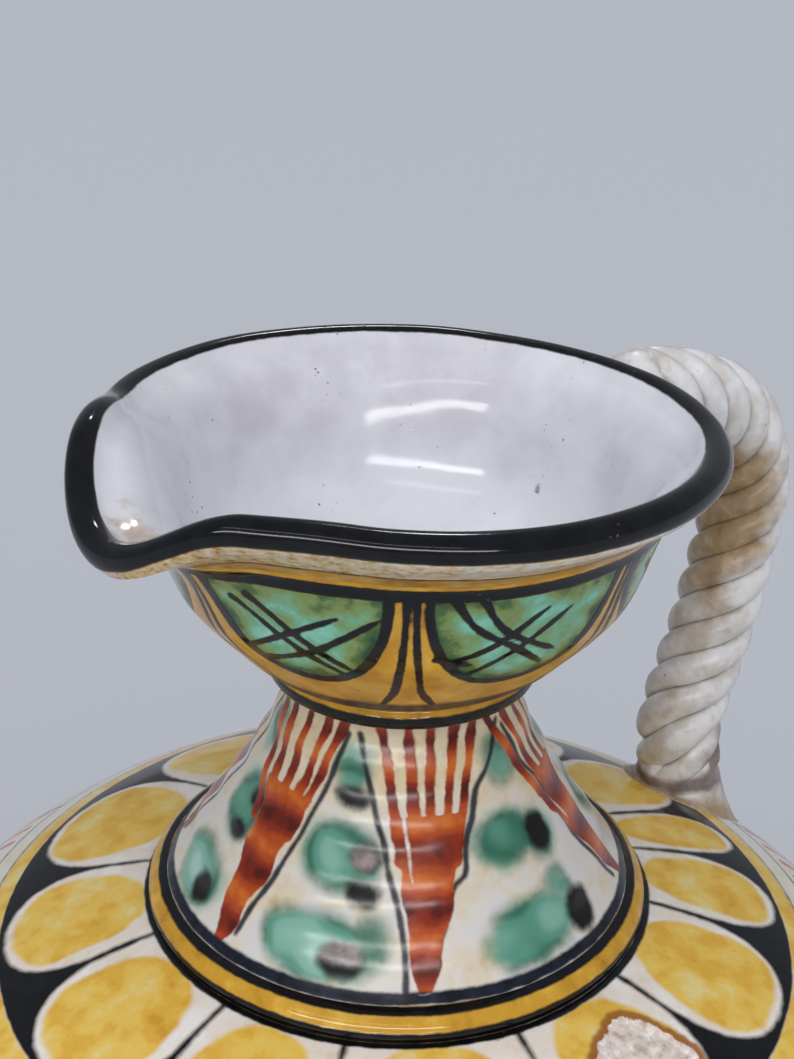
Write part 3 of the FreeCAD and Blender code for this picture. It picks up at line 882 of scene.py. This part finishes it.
# Touches of green, each with its dark spots, as turn, depth, half width and half height, tilt
greens = [(-20.5, 8.4, 3.1, 4.2, 0), (-19.2, 20.4, 7.0, 5.4, 4), (-19.6, 32.0, 10.2, 5.2, 0),
          (-7.0, 30.5, 3.4, 4.2, 0), (47.0, 9.0, 3.2, 4.2, 0), (39.0, 19.6, 6.4, 4.6, 6),
          (39.5, 31.8, 9.8, 5.2, -4), (52.0, 28.6, 3.0, 3.2, 10), (53.0, 21.0, 4.0, 4.4, 0),
          (-64.0, 20.0, 6.0, 6.0, 10), (-67.5, 32.0, 8.4, 5.2, 8), (-72.0, 8.6, 2.8, 4.4, 12),
          (96.0, 11.0, 3.0, 5.0, -20), (99.0, 25.0, 5.5, 5.5, -15),
          (116.0, 31.0, 5.0, 4.0, 0), (110.0, 15.0, 4.0, 5.0, 0),
          (168.0, 8.0, 3.4, 4.4, 0), (170.0, 20.0, 6.0, 5.0, 10), (168.0, 31.0, 8.0, 4.4, 0),
          (-126.0, 8.0, 3.0, 4.4, 0), (-127.0, 20.4, 5.6, 5.0, -10), (-126.0, 31.0, 7.6, 4.2, 0)]
# Pale grey-pink painted highlights on two of the dark spots: turn, depth, half width and half
# height, tilt
spot_highlights = [(-10.5, 20.2, 2.2, 1.7, 0), (-13.0, 32.2, 3.2, 1.7, 0)]
spots = [(-18.0, 12.2, 3.1, 1.9, 0), (-10.2, 20.0, 2.6, 2.4, 0), (-9.8, 24.6, 2.9, 2.2, 0),
         (-13.5, 33.2, 3.9, 2.7, 0), (53.5, 20.8, 2.9, 3.5, 0), (56.0, 33.0, 3.4, 3.9, 10),
         (-61.0, 18.6, 2.4, 1.7, 0), (-61.5, 23.6, 2.6, 1.7, 0), (-62.0, 33.2, 2.9, 2.9, 0),
         (113.0, 20.0, 2.2, 2.8, 0), (120.0, 33.0, 2.6, 2.2, 0), (164.0, 22.0, 2.4, 2.6, 0),
         (173.0, 32.0, 3.2, 2.4, 0), (-122.0, 21.0, 2.4, 2.6, 0), (-130.0, 32.6, 3.0, 2.2, 0)]


def wedge(face, top, tip, wide, strokes, start=0.0, length=WEDGE_LENGTH):
    """A rust wedge: strokes side by side that run together to a point.

    At each depth the wedge's half width is its share of the table's, swelling on every ridge.
    """
    stretch = length / WEDGE_LENGTH

    def line(side, beyond, depths):
        depths = np.asarray(depths, float)
        middle = top + (tip - top) * depths / WEDGE_LENGTH
        half = np.interp(depths, wedge_depths, wedge_halves) * wide * stretch + beyond
        level = start + depths * stretch
        return np.stack([middle + np.degrees(side * half / face.radius(level)), level], axis=1)

    rust = []
    for side in strokes:
        rust.append(face.stroke(line(side, -1.0, [0.9, 4, 8, 12, 16, 20]), 1.75 * stretch ** 0.7,
                                ends=(0.9, 1.6), steps=36, shake=0.3))
    depths = np.linspace(14.2, WEDGE_LENGTH, 40)
    swell = 0.35 * np.sin(2 * np.pi * depths / 7.5)
    left, right = line(-1, swell, depths), line(1, swell[::-1], depths)
    rust.append(face.patch(np.concatenate((left, right[::-1]))))
    rust = joined(*rust)
    split = face.stroke(line(strokes[0] + 0.3, -0.4, [12, 18, 23]), 0.5, ends=(1, 0.2))
    return np.maximum(rust, -split)


def neck_finish():
    """The same white glaze, rubbed warm on the ridges: rust wedges and watery copper green.

    Rust is an iron wash: thick and dark in the grooves, thin and orange on the crests. The green
    is a wet touch of copper that dries with a dark rim.
    """
    glaze = Glaze("tin_glaze_brushed_neck")
    glaze.ground([(-0.24, "#c6b08c"), (-0.1, "#d3c7b1"), (0.02, "#d4cec6"), (0.22, "#cdced3")],
                 6.0)
    glaze.paint("warm", [(-0.2, "#cbb185"), (0.0, "#d8c5a0"), (0.2, "#e0d2b6")], soft=5.0,
                wander=3.0, size=6.0, strength=0.85)
    glaze.paint("green", GREEN, soft=1.8, wander=1.6, size=5.0, by="green", sway=8.0, cloud=12.0,
                fine=1.0)
    glaze.paint("spot", [(-2.4, "#1d1716"), (-1.0, "#120e0d"), (0.6, "#1a3228")], soft=0.9,
                wander=0.8, by="spot", sway=1.3, cloud=2.5)
    # Painted highlights on two of the dark spots
    glaze.paint("spot_highlight", [(-0.2, "#6b5f5e"), (0.2, "#978c8b")], soft=0.9, wander=0.8)
    glaze.paint("blue", BLUE_BLACK, soft=0.35, wander=0.3, strength=0.95)
    glaze.paint("rust", RUST, soft=0.25, wander=0.35, size=1.8, by="crest", sway=0.5, cloud=3.8,
                raise_by=0.06)
    glaze.paint("ink", BLUE_BLACK, soft=0.35, wander=0.35, size=3.0)
    glaze.specks("#7a6a55", 1.9, 0.34)
    return glaze.fire(roughness=0.2, skin_depth=0.04)


def make_neck():
    """The neck with its ridges, painted in wedges, lines and wet touches of green."""
    outside, inside = neck_outline()
    face = Face(outside, inside, 600, NECK_TOP - outside[:, 1])
    rust = [wedge(face, *spec) for spec in wedges]
    blue = [face.stroke(path, 1.0, ends=(0.8, 1.1), steps=36, shake=0.2) for path in wedge_lines]
    crest = 0.5 + 0.38 * np.cos(2 * np.pi * RIDGES * face.level / NECK_DEPTH)
    plain = np.zeros(len(inside))
    marks = {
        "rust": joined(*rust),
        "blue": joined(*blue),
        "green": joined(*(face.blot(*touch) for touch in greens)),
        "spot": joined(*(face.blot(*touch) for touch in spots)),
        "spot_highlight": joined(*(face.blot(*touch) for touch in spot_highlights)),
        "ink": face.band(36.1, NECK_DEPTH + 0.4),
        "crest": face.all_round(np.append(crest, plain)),
        "warm": face.all_round(np.append(face.level - WARM_TO, plain)),
    }
    wobble = uneven(face.at, (0.16, 9.0, 11), (0.05, 3.0, 12))
    piece = skin("ridged_neck_glazed", face.points(wobble), marks)
    set_down(piece, "neck", neck_finish())


# The rings

def ring_finish(name):
    """A brushed ring: ochre over the white glaze, with blue-black lines along its edges."""
    glaze = Glaze(name)
    glaze.ground([(-0.22, "#a87a22"), (0.0, "#c5952f"), (0.2, "#d6ac48")], 5.0)
    glaze.paint("ink", INK, soft=0.25, wander=0.25, size=2.5, raise_by=0.1)
    glaze.specks("#6b542c", 2.2, 0.34)
    return glaze.fire(roughness=0.1)


def make_ring(node, sections, columns, lines):
    """A turned ring with black lines painted between pairs of heights."""
    outside, inside = sections
    face = Face(outside, inside, columns, -outside[:, 1])
    wobble = uneven(face.at, (0.14, 14.0, 21), (0.04, 4.0, 22))
    marks = {"ink": joined(*(face.band(-high, -low) for low, high in lines))}
    name = node + "_glazed"
    piece = skin(name, face.points(wobble), marks)
    set_down(piece, node, ring_finish(name + "_glaze"))


# The body

PETAL_IN, PETAL_OUT = 43.2, 66.0
CELL_SQUARE, CELL_OUT = 51.0, 67.4
GROUND_OUT = 68.6
CELL_POWER, PETAL_POWER = 2.3, 2.5

# Turns of the dark lines between the shoulder's petals, spaced by eye as they are painted
petal_lines = [-127.0, -93.5, -66.0, -37.0, -9.5, 26.0, 55.0, 83.0, 104.0, 119.0, 144.0, 174.0,
               203.0]

CHIP_TURN, CHIP_RADIUS = 42.2, 57.4
CHIP_ACROSS, CHIP_ALONG = 9.3, 9.8
CHIP_DEPTH = 0.9

# Radii of the shoulder's yellow belt, of the fine line below it and of the next, over the frieze
YELLOW_OUT, FINE_LINE_OUT = 72.0, 72.5
LAST_LINE_IN, LAST_LINE_OUT = 76.4, 77.0

FRIEZE_TOP = run_of(LAST_LINE_OUT)
FRIEZE_LENGTH = 58.0
FRIEZE_WEDGES = 10
FRIEZE_HALF = 9.6             # degrees from a wedge's middle to the blue line beside it
BELT = 12.0
TONGUES = 18
TONGUE_LENGTH = 52.0
STILL_RUN = 20.0              # the wobble dies away over this run above the foot


def petal_shapes(face, first, square, out, petal_first, petal_out, lines, line_gap=0.55):
    """White cells with rounded ends, each holding a yellow petal, between a row of lines.

    A cell's sides run straight to the level called square and close on half an oblong.
    """
    cells, petals = [], []
    u, v = oblong(np.linspace(0, np.pi, 31), CELL_POWER)
    around = np.linspace(0, 2 * np.pi, 40)[:-1]
    for left, right in zip(lines, lines[1:] + [lines[0] + 360]):
        middle, half = (left + right) / 2, (right - left) / 2
        half_cell = half - math.degrees(line_gap / face.radius(square))
        cell = np.stack([middle + half_cell * u, square + (out - square) * v], axis=1)
        start = [(middle - half_cell, first), (middle + half_cell, first)]
        cells.append(face.patch(np.concatenate((cell, start))))
        draw = np.random.default_rng(int(abs(left) * 10))
        shake = 0.035 * np.interp(around, np.linspace(0, 2 * np.pi, 7),
                                  np.append(draw.uniform(-1, 1, 6), 0))
        c, s = (axis * (1 + shake) for axis in oblong(around, PETAL_POWER))
        level = (petal_first + petal_out) / 2 + (petal_out - petal_first) / 2 * s
        wide = half * 0.77 * c * (1 + 0.05 * s) + half * 0.05 * draw.uniform(-1, 1)
        petals.append(face.patch(np.stack([middle + wide, level], axis=1)))
    return joined(*cells), joined(*petals)


def frieze_shapes(face):
    """The belly's frieze: the neck's wedges and green touches again, larger and evenly spaced."""
    rust, blue, green, spot = [], [], [], []
    draw = np.random.default_rng(41)
    step = 360 / FRIEZE_WEDGES
    for number in range(FRIEZE_WEDGES):
        top = number * step + draw.uniform(-2, 2)
        tip = top + draw.uniform(-3, 3)
        strokes = (-1.0, -0.5, 0.0, 0.5, 1.0)
        rust.append(wedge(face, top, tip, 0.9, strokes, FRIEZE_TOP + 1.5, FRIEZE_LENGTH - 3.0))
        for side in (-1, 1):
            half = side * FRIEZE_HALF
            path = [(top + half, FRIEZE_TOP), (top + half * 0.72, FRIEZE_TOP + 18),
                    (top + half * 0.4, FRIEZE_TOP + 38), (tip + side * 1.2, FRIEZE_TOP + 55)]
            blue.append(face.stroke(path, 1.2, ends=(0.8, 1.1), steps=36, shake=0.2))
        between = top + step / 2
        for level, across, along in ((14.0, 5.5, 6.5), (31.0, 9.0, 7.0), (47.0, 11.0, 6.0)):
            turn = between + draw.uniform(-2, 2)
            green.append(face.blot(turn, FRIEZE_TOP + level, across, along, draw.uniform(-20, 20)))
            turn += draw.uniform(-3, 3)
            spot.append(face.blot(turn, FRIEZE_TOP + level + 2, across * 0.36, along * 0.4, 0))
    return joined(*rust), joined(*blue), joined(*green), joined(*spot)


def body_marks(face):
    """All that is painted on the body, by its place on the run from the collar to the foot."""
    r = run_of
    belt = FRIEZE_TOP + FRIEZE_LENGTH
    tongue = belt + BELT
    cells, petals = petal_shapes(face, 0.9, r(CELL_SQUARE), r(CELL_OUT), r(PETAL_IN), r(PETAL_OUT),
                                 petal_lines)
    step = 360 / TONGUES
    lines = [number * step - 180 + 7 for number in range(TONGUES)]
    low_cells, low_petals = petal_shapes(face, tongue + 0.8, tongue + TONGUE_LENGTH * 0.6,
                                         tongue + TONGUE_LENGTH, tongue + 5.0,
                                         tongue + TONGUE_LENGTH - 4.0, lines, 1.0)
    rust, blue, green, spot = frieze_shapes(face)
    low = tongue + TONGUE_LENGTH + 2.0
    return {
        "ground": joined(face.band(-2, r(GROUND_OUT)), face.band(tongue, low)),
        "cell": joined(cells, low_cells),
        "petal": joined(petals, low_petals),
        "yellow": joined(face.band(r(GROUND_OUT), r(YELLOW_OUT)),
                         face.band(belt + 3, tongue - 2.4), face.band(low, low + 6)),
        "thin_line": joined(face.band(r(YELLOW_OUT), r(FINE_LINE_OUT)),
                            face.band(r(LAST_LINE_IN), r(LAST_LINE_OUT)),
                            face.band(low + 12, low + 12.8)),
        "ink": joined(face.band(-1, 1.3), face.band(belt, belt + 3),
                      face.band(tongue - 2.4, tongue), face.band(low + 6, low + 8)),
        "rust": rust, "blue": blue, "green": green, "spot": spot,
    }


def body_finish():
    """White tin glaze over buff clay, painted: yellow petals in black, then the frieze."""
    glaze = Glaze("tin_glaze_brushed_body")
    glaze.ground([(-0.24, "#d0bfa0"), (-0.1, "#dad0bd"), (0.04, "#dcd6ce"), (0.22, "#d2d2d5")], 9.0)
    glaze.paint("ground", INK, soft=0.35, wander=0.35, size=3.0)
    glaze.paint("cell", [(-0.25, "#d8c7b0"), (-0.05, "#e3dad0"), (0.15, "#e9e5e2")], soft=0.6,
                wander=0.5, size=3.5, cloud=6.0)
    glaze.paint("petal", PETAL, soft=0.7, wander=0.9, size=5.0, cloud=6.5)
    glaze.paint("yellow", PETAL, soft=0.35, wander=0.3, cloud=5.0)
    glaze.paint("thin_line", [(-0.2, "#4f5450"), (0.2, "#787c74")], soft=0.35, wander=0.25)
    glaze.paint("green", GREEN, soft=1.7, wander=1.6, size=5.0, by="green", sway=8.0, cloud=12.0,
                fine=1.0)
    glaze.paint("spot", [(-2.6, "#1d1716"), (-1.0, "#120e0d"), (0.6, "#1a3228")], soft=0.8,
                wander=0.8, by="spot", sway=1.3, cloud=2.5)
    glaze.paint("blue", BLUE_BLACK, soft=0.3, wander=0.3)
    glaze.paint("rust", RUST, soft=0.25, wander=0.4, size=2.0, by="streak", sway=0.5, cloud=3.0,
                raise_by=0.06)
    glaze.paint("ink", INK, soft=0.25, wander=0.3, size=3.0)
    glaze.specks("#7a6a55", 2.2, 0.34, spread=16.0)
    glaze.paint("chip", [(-1.4, "#8a4f1e"), (0.0, "#9c6226"), (0.9, "#b98a3c")], soft=0.5,
                wander=0.7, size=3.0, by="chip", sway=0.6, cloud=2.0, strength=0.92)
    glaze.paint("chip_clay", [(-0.2, "#b9a79e"), (0.0, "#d8cbc4"), (0.2, "#efe8e4")], soft=0.15,
                wander=0.5, size=1.2, cloud=1.4)
    dull = cover(glaze.tree, glaze.place, "chip_clay", 0.2, 0.4)
    return glaze.fire(roughness=0.09, skin_depth=0.03, dull=dull)


def chip_gap(face):
    """The chip's ragged outline, round its middle on the shoulder."""
    draw = np.random.default_rng(5)
    around = np.linspace(0, 2 * np.pi, 73)[:-1]
    lobes = np.interp(around, np.linspace(0, 2 * np.pi, 12), np.append(draw.uniform(-1, 1, 11), 0))
    ragged = 1 + 0.11 * lobes + 0.035 * draw.uniform(-1, 1, len(around))
    turn = CHIP_TURN + np.degrees(CHIP_ACROSS * ragged * np.cos(around) / CHIP_RADIUS)
    level = run_of(CHIP_RADIUS) + CHIP_ALONG * ragged * np.sin(around)
    return face.patch(np.stack([turn, level], axis=1))


def make_body(finish):
    """The body's halves under one painting, with the chip broken out of the upper one."""
    for name, node, (runs, inside) in (("shoulder_glazed", "upper_body", shoulder_outline()),
                                       ("belly_glazed", "lower_body", lower_outline())):
        face = Face(body_at(runs), inside, 720, runs, (BODY_RUN, BODY, BODY_RUN))
        marks = body_marks(face)
        chip = chip_gap(face) if node == "upper_body" else face.bare()
        marks["chip"] = chip - 0.5
        marks["chip_clay"] = chip + 0.7
        marks["streak"] = face.all_round(0.5 + 0.5 * np.sin(face.run / 3.0))
        wobble = uneven(face.at, (0.2, 30.0, 31), (0.05, 8.0, 32))
        wobble = wobble * np.clip((FOOT_RUN - face.run) / STILL_RUN, 0, 1)[:, None]
        depth = CHIP_DEPTH * np.clip(-(chip + 0.6) / 0.8, 0, 1)
        depth = depth * (0.75 + uneven(face.at, (0.45, 2.2, 33), (0.25, 1.0, 34)))
        points = face.points(wobble)
        points[..., 2] -= depth
        piece = skin(name, points, marks)
        set_down(piece, node, finish)


def foot_finish():
    """Ochre brushed on the foot's side, with bare buff clay where the jug was wiped to stand."""
    glaze = Glaze("brushed_foot_over_buff_clay")
    glaze.ground([(-0.2, "#a98a5e"), (0.0, "#b99a6d"), (0.2, "#c7ab80")], 4.0)
    glaze.paint("glazed", PETAL, soft=0.4, wander=0.8, size=5.0, cloud=5.0)
    glaze.paint("ink", INK, soft=0.3, wander=0.3, size=3.0)
    glaze.specks("#6b542c", 2.2, 0.34)
    glazed = cover(glaze.tree, glaze.place, "glazed", 0.4, 0.8, 5.0)
    bare = add(glaze.tree, "Math", 1.0, glazed, operation="SUBTRACT")
    return glaze.fire(roughness=0.12, dull=bare)


def make_foot():
    """The foot ring, a little smaller than it was turned, and flat where it stands."""
    outside, inside = foot_outline()
    face = Face(outside, inside, 480, -outside[:, 1])
    marks = {"glazed": face.band(-FOOT_TOP - 1, -1.6), "ink": face.band(-FOOT_TOP - 1, -8.6)}
    points = face.points(-0.12 - uneven(face.at, (0.1, 18.0, 41)))
    points[..., 2] = np.maximum(points[..., 2], 0)
    piece = skin("foot_ring_glazed", points, marks)
    set_down(piece, "foot_ring", foot_finish())


# The rope handle

ROPE_ROWS = 300
ROPE_SIDES = 40
GRIMIEST, GRIME_SPREAD = 0.44, 0.2    # as shares of the way down the rope
STAINED = 0.97                # the foot is stained from this share on
SWELL, SWELL_LIMIT = 0.018, 1.02      # how much a strand's thickness varies, and its most


def shoulder_level(radius):
    """Heights of the shoulder's outside at radii."""
    return np.interp(radius, SHOULDER[:, 0], SHOULDER[:, 1])


def rope_frames(count):
    """Points of the rope's middle line, their two cross axes and way ahead, and its length."""
    start = np.array(ROPE_START)
    foot = np.array([ROPE_FOOT_RADIUS, shoulder_level(ROPE_FOOT_RADIUS)])
    out, down = HANDLE_REACH - start[0], start[1] - foot[1]
    route = start + np.array(rope_path_shares) * (out, -down)
    lean = route[-1] - route[-2]
    lean /= np.linalg.norm(lean)
    route = np.concatenate((route, [foot - lean * ROPE_FOOT_GAP]))
    path = spaced(smooth(route, 600), count)
    ahead = np.gradient(path, axis=0)
    ahead /= np.linalg.norm(ahead, axis=1)[:, None]
    middle = np.stack([path[:, 0], np.zeros(count), path[:, 1]], axis=1)
    ahead = np.stack([ahead[:, 0], np.zeros(count), ahead[:, 1]], axis=1)
    upward = np.stack([ahead[:, 2], np.zeros(count), -ahead[:, 0]], axis=1)
    side = np.broadcast_to((0.0, 1.0, 0.0), (count, 3))
    length = np.linalg.norm(np.diff(path, axis=0), axis=1).sum()
    return middle, upward, side, ahead, length


def strand_section():
    """One strand across the rope, and how deep each point lies in a groove, from 0 to 1.

    It is a lobe R (1 - g |s|^2.4) over its share of the circle, with its edges rolled in to the
    groove, and flat sides to the rope's middle.
    """
    half = np.pi / STRANDS
    s = np.linspace(-1, 1, ROPE_SIDES)
    r = ROPE_RADIUS * (1 - GROOVE_SHARE * np.abs(s) ** 2.4)
    lobe = np.stack([r * np.cos(s * half), r * np.sin(s * half)], axis=1)
    sides = np.array([lobe[-1] * 0.7, lobe[-1] * 0.35, (0.02, 0.0), lobe[0] * 0.35, lobe[0] * 0.7])
    groove = np.concatenate((np.abs(s), np.ones(len(sides))))
    return np.concatenate((lobe, sides)), groove


def rope_finish():
    """The thick white glaze on twisted clay, milky on the crests.

    It is painted brown in the grooves as shade, and painted darker as shade on the side that faces
    the neck, where it is also grimy from years of handling.
    """
    glaze = Glaze("tin_glaze_on_twisted_clay")
    glaze.ground([(-0.26, "#b4aba2"), (-0.1, "#c9c5c1"), (0.04, "#d8d7d8"), (0.24, "#e6e7ec")],
                 5.0)
    # Painted shade on the side facing the neck, with grime from handling about the rope's middle
    glaze.paint("grime_and_shade", [(-0.22, "#7a5c30"), (0.0, "#957544"), (0.2, "#b0966a")], soft=0.6,
                wander=0.9, size=6.0, strength=0.85, cloud=3.0)
    # Brown painted shade in the grooves between the strands
    glaze.paint("groove_shade", [(-0.2, "#7f6c54"), (0.2, "#b3a48e")], soft=0.14, wander=0.25, size=4.0,
                strength=0.6)
    glaze.paint("stain", [(-0.2, "#4e3d38"), (0.2, "#7d675c")], soft=0.8, wander=1.6, size=5.0,
                strength=0.85)
    glaze.specks("#5b4632", 1.8, 0.4)
    return glaze.fire(roughness=0.3, skin_size=3.0, skin_depth=0.1)


def make_strands(finish):
    """The four strands: the section turned round the middle line, once in each lay."""
    middle, upward, side, _, length = rope_frames(ROPE_ROWS)
    section, groove = strand_section()
    along = np.linspace(0, 1, ROPE_ROWS)
    for number in range(STRANDS):
        turn = 2 * np.pi * (length * along / ROPE_LAY + number / STRANDS)
        c, s = np.cos(turn)[:, None], np.sin(turn)[:, None]
        u = section[:, 0] * c - section[:, 1] * s
        v = section[:, 0] * s + section[:, 1] * c
        points = (middle[:, None] + upward[:, None] * u[..., None] + side[:, None] * v[..., None])
        swell = 1 + uneven(points, (SWELL, 7.0, 51 + number))[..., None]
        points = middle[:, None] + (points - middle[:, None]) * np.minimum(swell, SWELL_LIMIT)
        facing = u / ROPE_RADIUS
        handled = np.exp(-((along[:, None] - GRIMIEST) / GRIME_SPREAD) ** 2)
        marks = {
            # Brown painted shade in the grooves; painted shade on the side facing the neck, with
            # the grime of handling about the rope's middle; the stain at the foot
            "groove_shade": np.tile(0.93 - groove, (ROPE_ROWS, 1)),
            "grime_and_shade": 1.35 - 1.1 * facing - 1.45 * handled,
            "stain": 16.0 * (STAINED - along[:, None]) + 1.6 * facing,
        }
        piece = skin(f"rope_strand_{number + 1}", points, marks, poles=True)
        set_down(piece, f"handle_strand_{number + 1}", finish)


# The rounds of the rope's two pads: distance from the rope's end, drop, share of its radius
top_rounds = [(-3.0, 0.0, 0.7), (-1.0, 0.1, 0.88), (1.0, 0.4, 0.98), (2.5, 0.9, 1.0),
              (4.5, 2.0, 0.99), (7.5, 4.2, 0.95), (10.6, 7.4, 0.93)]
foot_rounds = [(-3.5, 0.0, 0.75), (-1.0, 0.0, 0.92), (1.0, 0.0, 1.0), (3.0, 0.0, 1.04),
               (4.6, 0.0, 1.13), (5.8, 0.0, 1.32), (6.7, 0.0, 1.6), (7.3, 0.0, 1.85),
               (7.7, 0.0, 2.05)]


def make_pads(finish):
    """The two lumps of clay that the rope is luted on with: rounds carried from it to the wall.

    The foot's last rounds spread outward and settle on the shoulder.
    """
    middle, upward, side, ahead, _ = rope_frames(ROPE_ROWS)
    around = np.linspace(0, 2 * np.pi, 73)[:-1]
    for name, node, end, sign, steps in (
            ("rope_top_pad", "handle_top_pad", 0, -1, top_rounds),
            ("rope_foot_pad", "handle_foot_pad", -1, 1, foot_rounds)):
        rounds = smooth(steps, 40)
        centre = (middle[end] + sign * ahead[end] * rounds[:, :1]
                  - np.array([0, 0, 1]) * rounds[:, 1:2])
        radius = ROPE_RADIUS * rounds[:, 2:]
        dent = 1 - 0.10 * np.abs(np.sin(2 * around))[None, :] * np.exp(-rounds[:, :1] / 3)
        if end:
            outward = (1 - np.cos(around))[None, :] / 2
            radius = ROPE_RADIUS + (radius - ROPE_RADIUS) * np.where(
                radius > ROPE_RADIUS, 0.35 + 0.65 * outward, 1)
        u, v = np.cos(around)[None, :] * radius * dent, np.sin(around)[None, :] * radius * dent
        points = centre[:, None] + upward[end] * u[..., None] + side[end] * v[..., None]
        points = points + uneven(points, (0.25, 5.0, 61))[..., None] * upward[end]
        if end:
            settled = np.interp(rounds[:, 0], [4.0, 6.6], [0, 1])[:, None]
            lift = np.interp(rounds[:, 0], [4.0, 6.0, 7.7], [3.0, 1.0, -0.6])[:, None]
            ground = shoulder_level(np.hypot(points[..., 0], points[..., 1]))
            points[..., 2] += (ground + lift - points[..., 2]) * settled
        clean, gap = np.full(u.shape, FAR), rounds[:, :1]
        marks = {"groove_shade": clean, "grime_and_shade": clean, "stain": clean}
        if end:
            marks["grime_and_shade"] = np.broadcast_to(0.9 - 0.2 * gap, u.shape)
            marks["stain"] = np.abs(gap - 2.0) - 2.0 + u / ROPE_RADIUS
        piece = skin(name, points, marks, poles=True)
        set_down(piece, node, finish)


make_bowl()
make_neck()
make_ring("neck_ring", ring_outline(), 360, [(NECK_TOP - 1, NECK_TOP + 2.5)])
make_ring("collar_ring", collar_outline(), 480,
          [(SEAT_LEVEL - 1, SEAT_LEVEL + 1.9), (COLLAR_TOP - 0.6, COLLAR_TOP + 1)])
make_body(body_finish())
make_foot()
rope_glaze = rope_finish()
make_strands(rope_glaze)
make_pads(rope_glaze)


# Stage

def make_stage():
    """A plain pale floor, wide enough to fill the view behind the jug."""
    bpy.ops.mesh.primitive_plane_add(size=60.0)
    floor = bpy.context.object
    floor.name = "floor"
    paint = bpy.data.materials.new("pale_floor")
    paint.use_nodes = True
    shader = paint.node_tree.nodes["Principled BSDF"]
    shader.inputs["Base Color"].default_value = linear("#c4c7cf")
    shader.inputs["Roughness"].default_value = 0.9
    floor.data.materials.append(paint)


# Where the camera stood, fitted to the round mouth, neck and collar
CAMERA_DISTANCE = 232.8       # from the jug's axis
CAMERA_HEIGHT = 341.6
CAMERA_PITCH = 0.4085         # radians down
CAMERA_YAW = -0.0061
CAMERA_ROLL = 0.0243
CAMERA_FOCAL = 1600.0         # pixels
PHOTO_HEIGHT = 1059           # pixels
SENSOR = 36.0


def make_camera():
    """The camera at the photograph's place: its axes from yaw, pitch and roll, then turned."""
    front = math.radians(FRONT)
    out = Vector((math.cos(front), math.sin(front), 0))
    aside = Vector((-out.y, out.x, 0))
    ahead = -out * math.cos(CAMERA_YAW) + aside * math.sin(CAMERA_YAW)
    right = Vector((ahead.y, -ahead.x, 0))
    view = ahead * math.cos(CAMERA_PITCH) + Vector((0, 0, -math.sin(CAMERA_PITCH)))
    up = right.cross(view)
    c, s = math.cos(CAMERA_ROLL), math.sin(CAMERA_ROLL)
    x, y = right * c + up * s, up * c - right * s
    data = bpy.data.cameras.new("camera")
    data.sensor_fit = "VERTICAL"
    data.sensor_height = SENSOR
    data.lens = CAMERA_FOCAL / PHOTO_HEIGHT * SENSOR
    data.clip_start, data.clip_end = 0.01, 50.0
    camera = bpy.data.objects.new("camera", data)
    place = out * CAMERA_DISTANCE * MM + Vector((0, 0, CAMERA_HEIGHT * MM))
    turn = Matrix((x, y, -view)).transposed().to_4x4()
    camera.matrix_world = Matrix.Translation(place) @ turn
    bpy.context.collection.objects.link(camera)
    bpy.context.scene.camera = camera


def lamp(name, kind, turn, height, distance, **settings):
    """A lamp that looks at the jug's mouth, from a turn round the jug and degrees above level."""
    data = bpy.data.lights.new(name, kind)
    for setting, value in settings.items():
        setattr(data, setting, value)
    made = bpy.data.objects.new(name, data)
    around, up = math.radians(turn + FRONT), math.radians(height)
    way = Vector((math.cos(around) * math.cos(up), math.sin(around) * math.cos(up), math.sin(up)))
    made.location = Vector((0, 0, BOWL_LEVEL * MM)) + way * distance
    made.rotation_euler = way.to_track_quat("Z", "Y").to_euler()
    made.visible_camera = False
    bpy.context.collection.objects.link(made)
    return made


def make_light():
    """Soft light from all round and above, and the lamps whose images shine in the glaze."""
    world = bpy.data.worlds.new("studio")
    bpy.context.scene.world = world
    world.use_nodes = True
    shader = world.node_tree.nodes["Background"]
    shader.inputs["Color"].default_value = linear("#e2e6ee")
    shader.inputs["Strength"].default_value = 0.36
    soft = lamp("soft_window", "SUN", -6.0, 47.0, 2.0, energy=2.45, angle=math.radians(100))
    soft.visible_glossy = False
    # Lamps that only shine in the glaze: turn, height, distance, length, width and power in watts
    strips = [("front_strip", -10.0, 23.8, 1.4, 1.7, 0.14, 9.5),
              ("upper_strip", -18.0, 44.0, 1.4, 1.2, 0.08, 1.1),
              ("back_lamp", 178.0, 47.0, 1.2, 0.12, 0.12, 1.2)]
    for name, turn, height, distance, long, wide, power in strips:
        made = lamp(name, "AREA", turn, height, distance, shape="RECTANGLE", size=long,
                    size_y=wide, energy=power)
        made.visible_diffuse = False


make_stage()
make_camera()
make_light()

scene = bpy.context.scene
scene.view_settings.view_transform = "Standard"
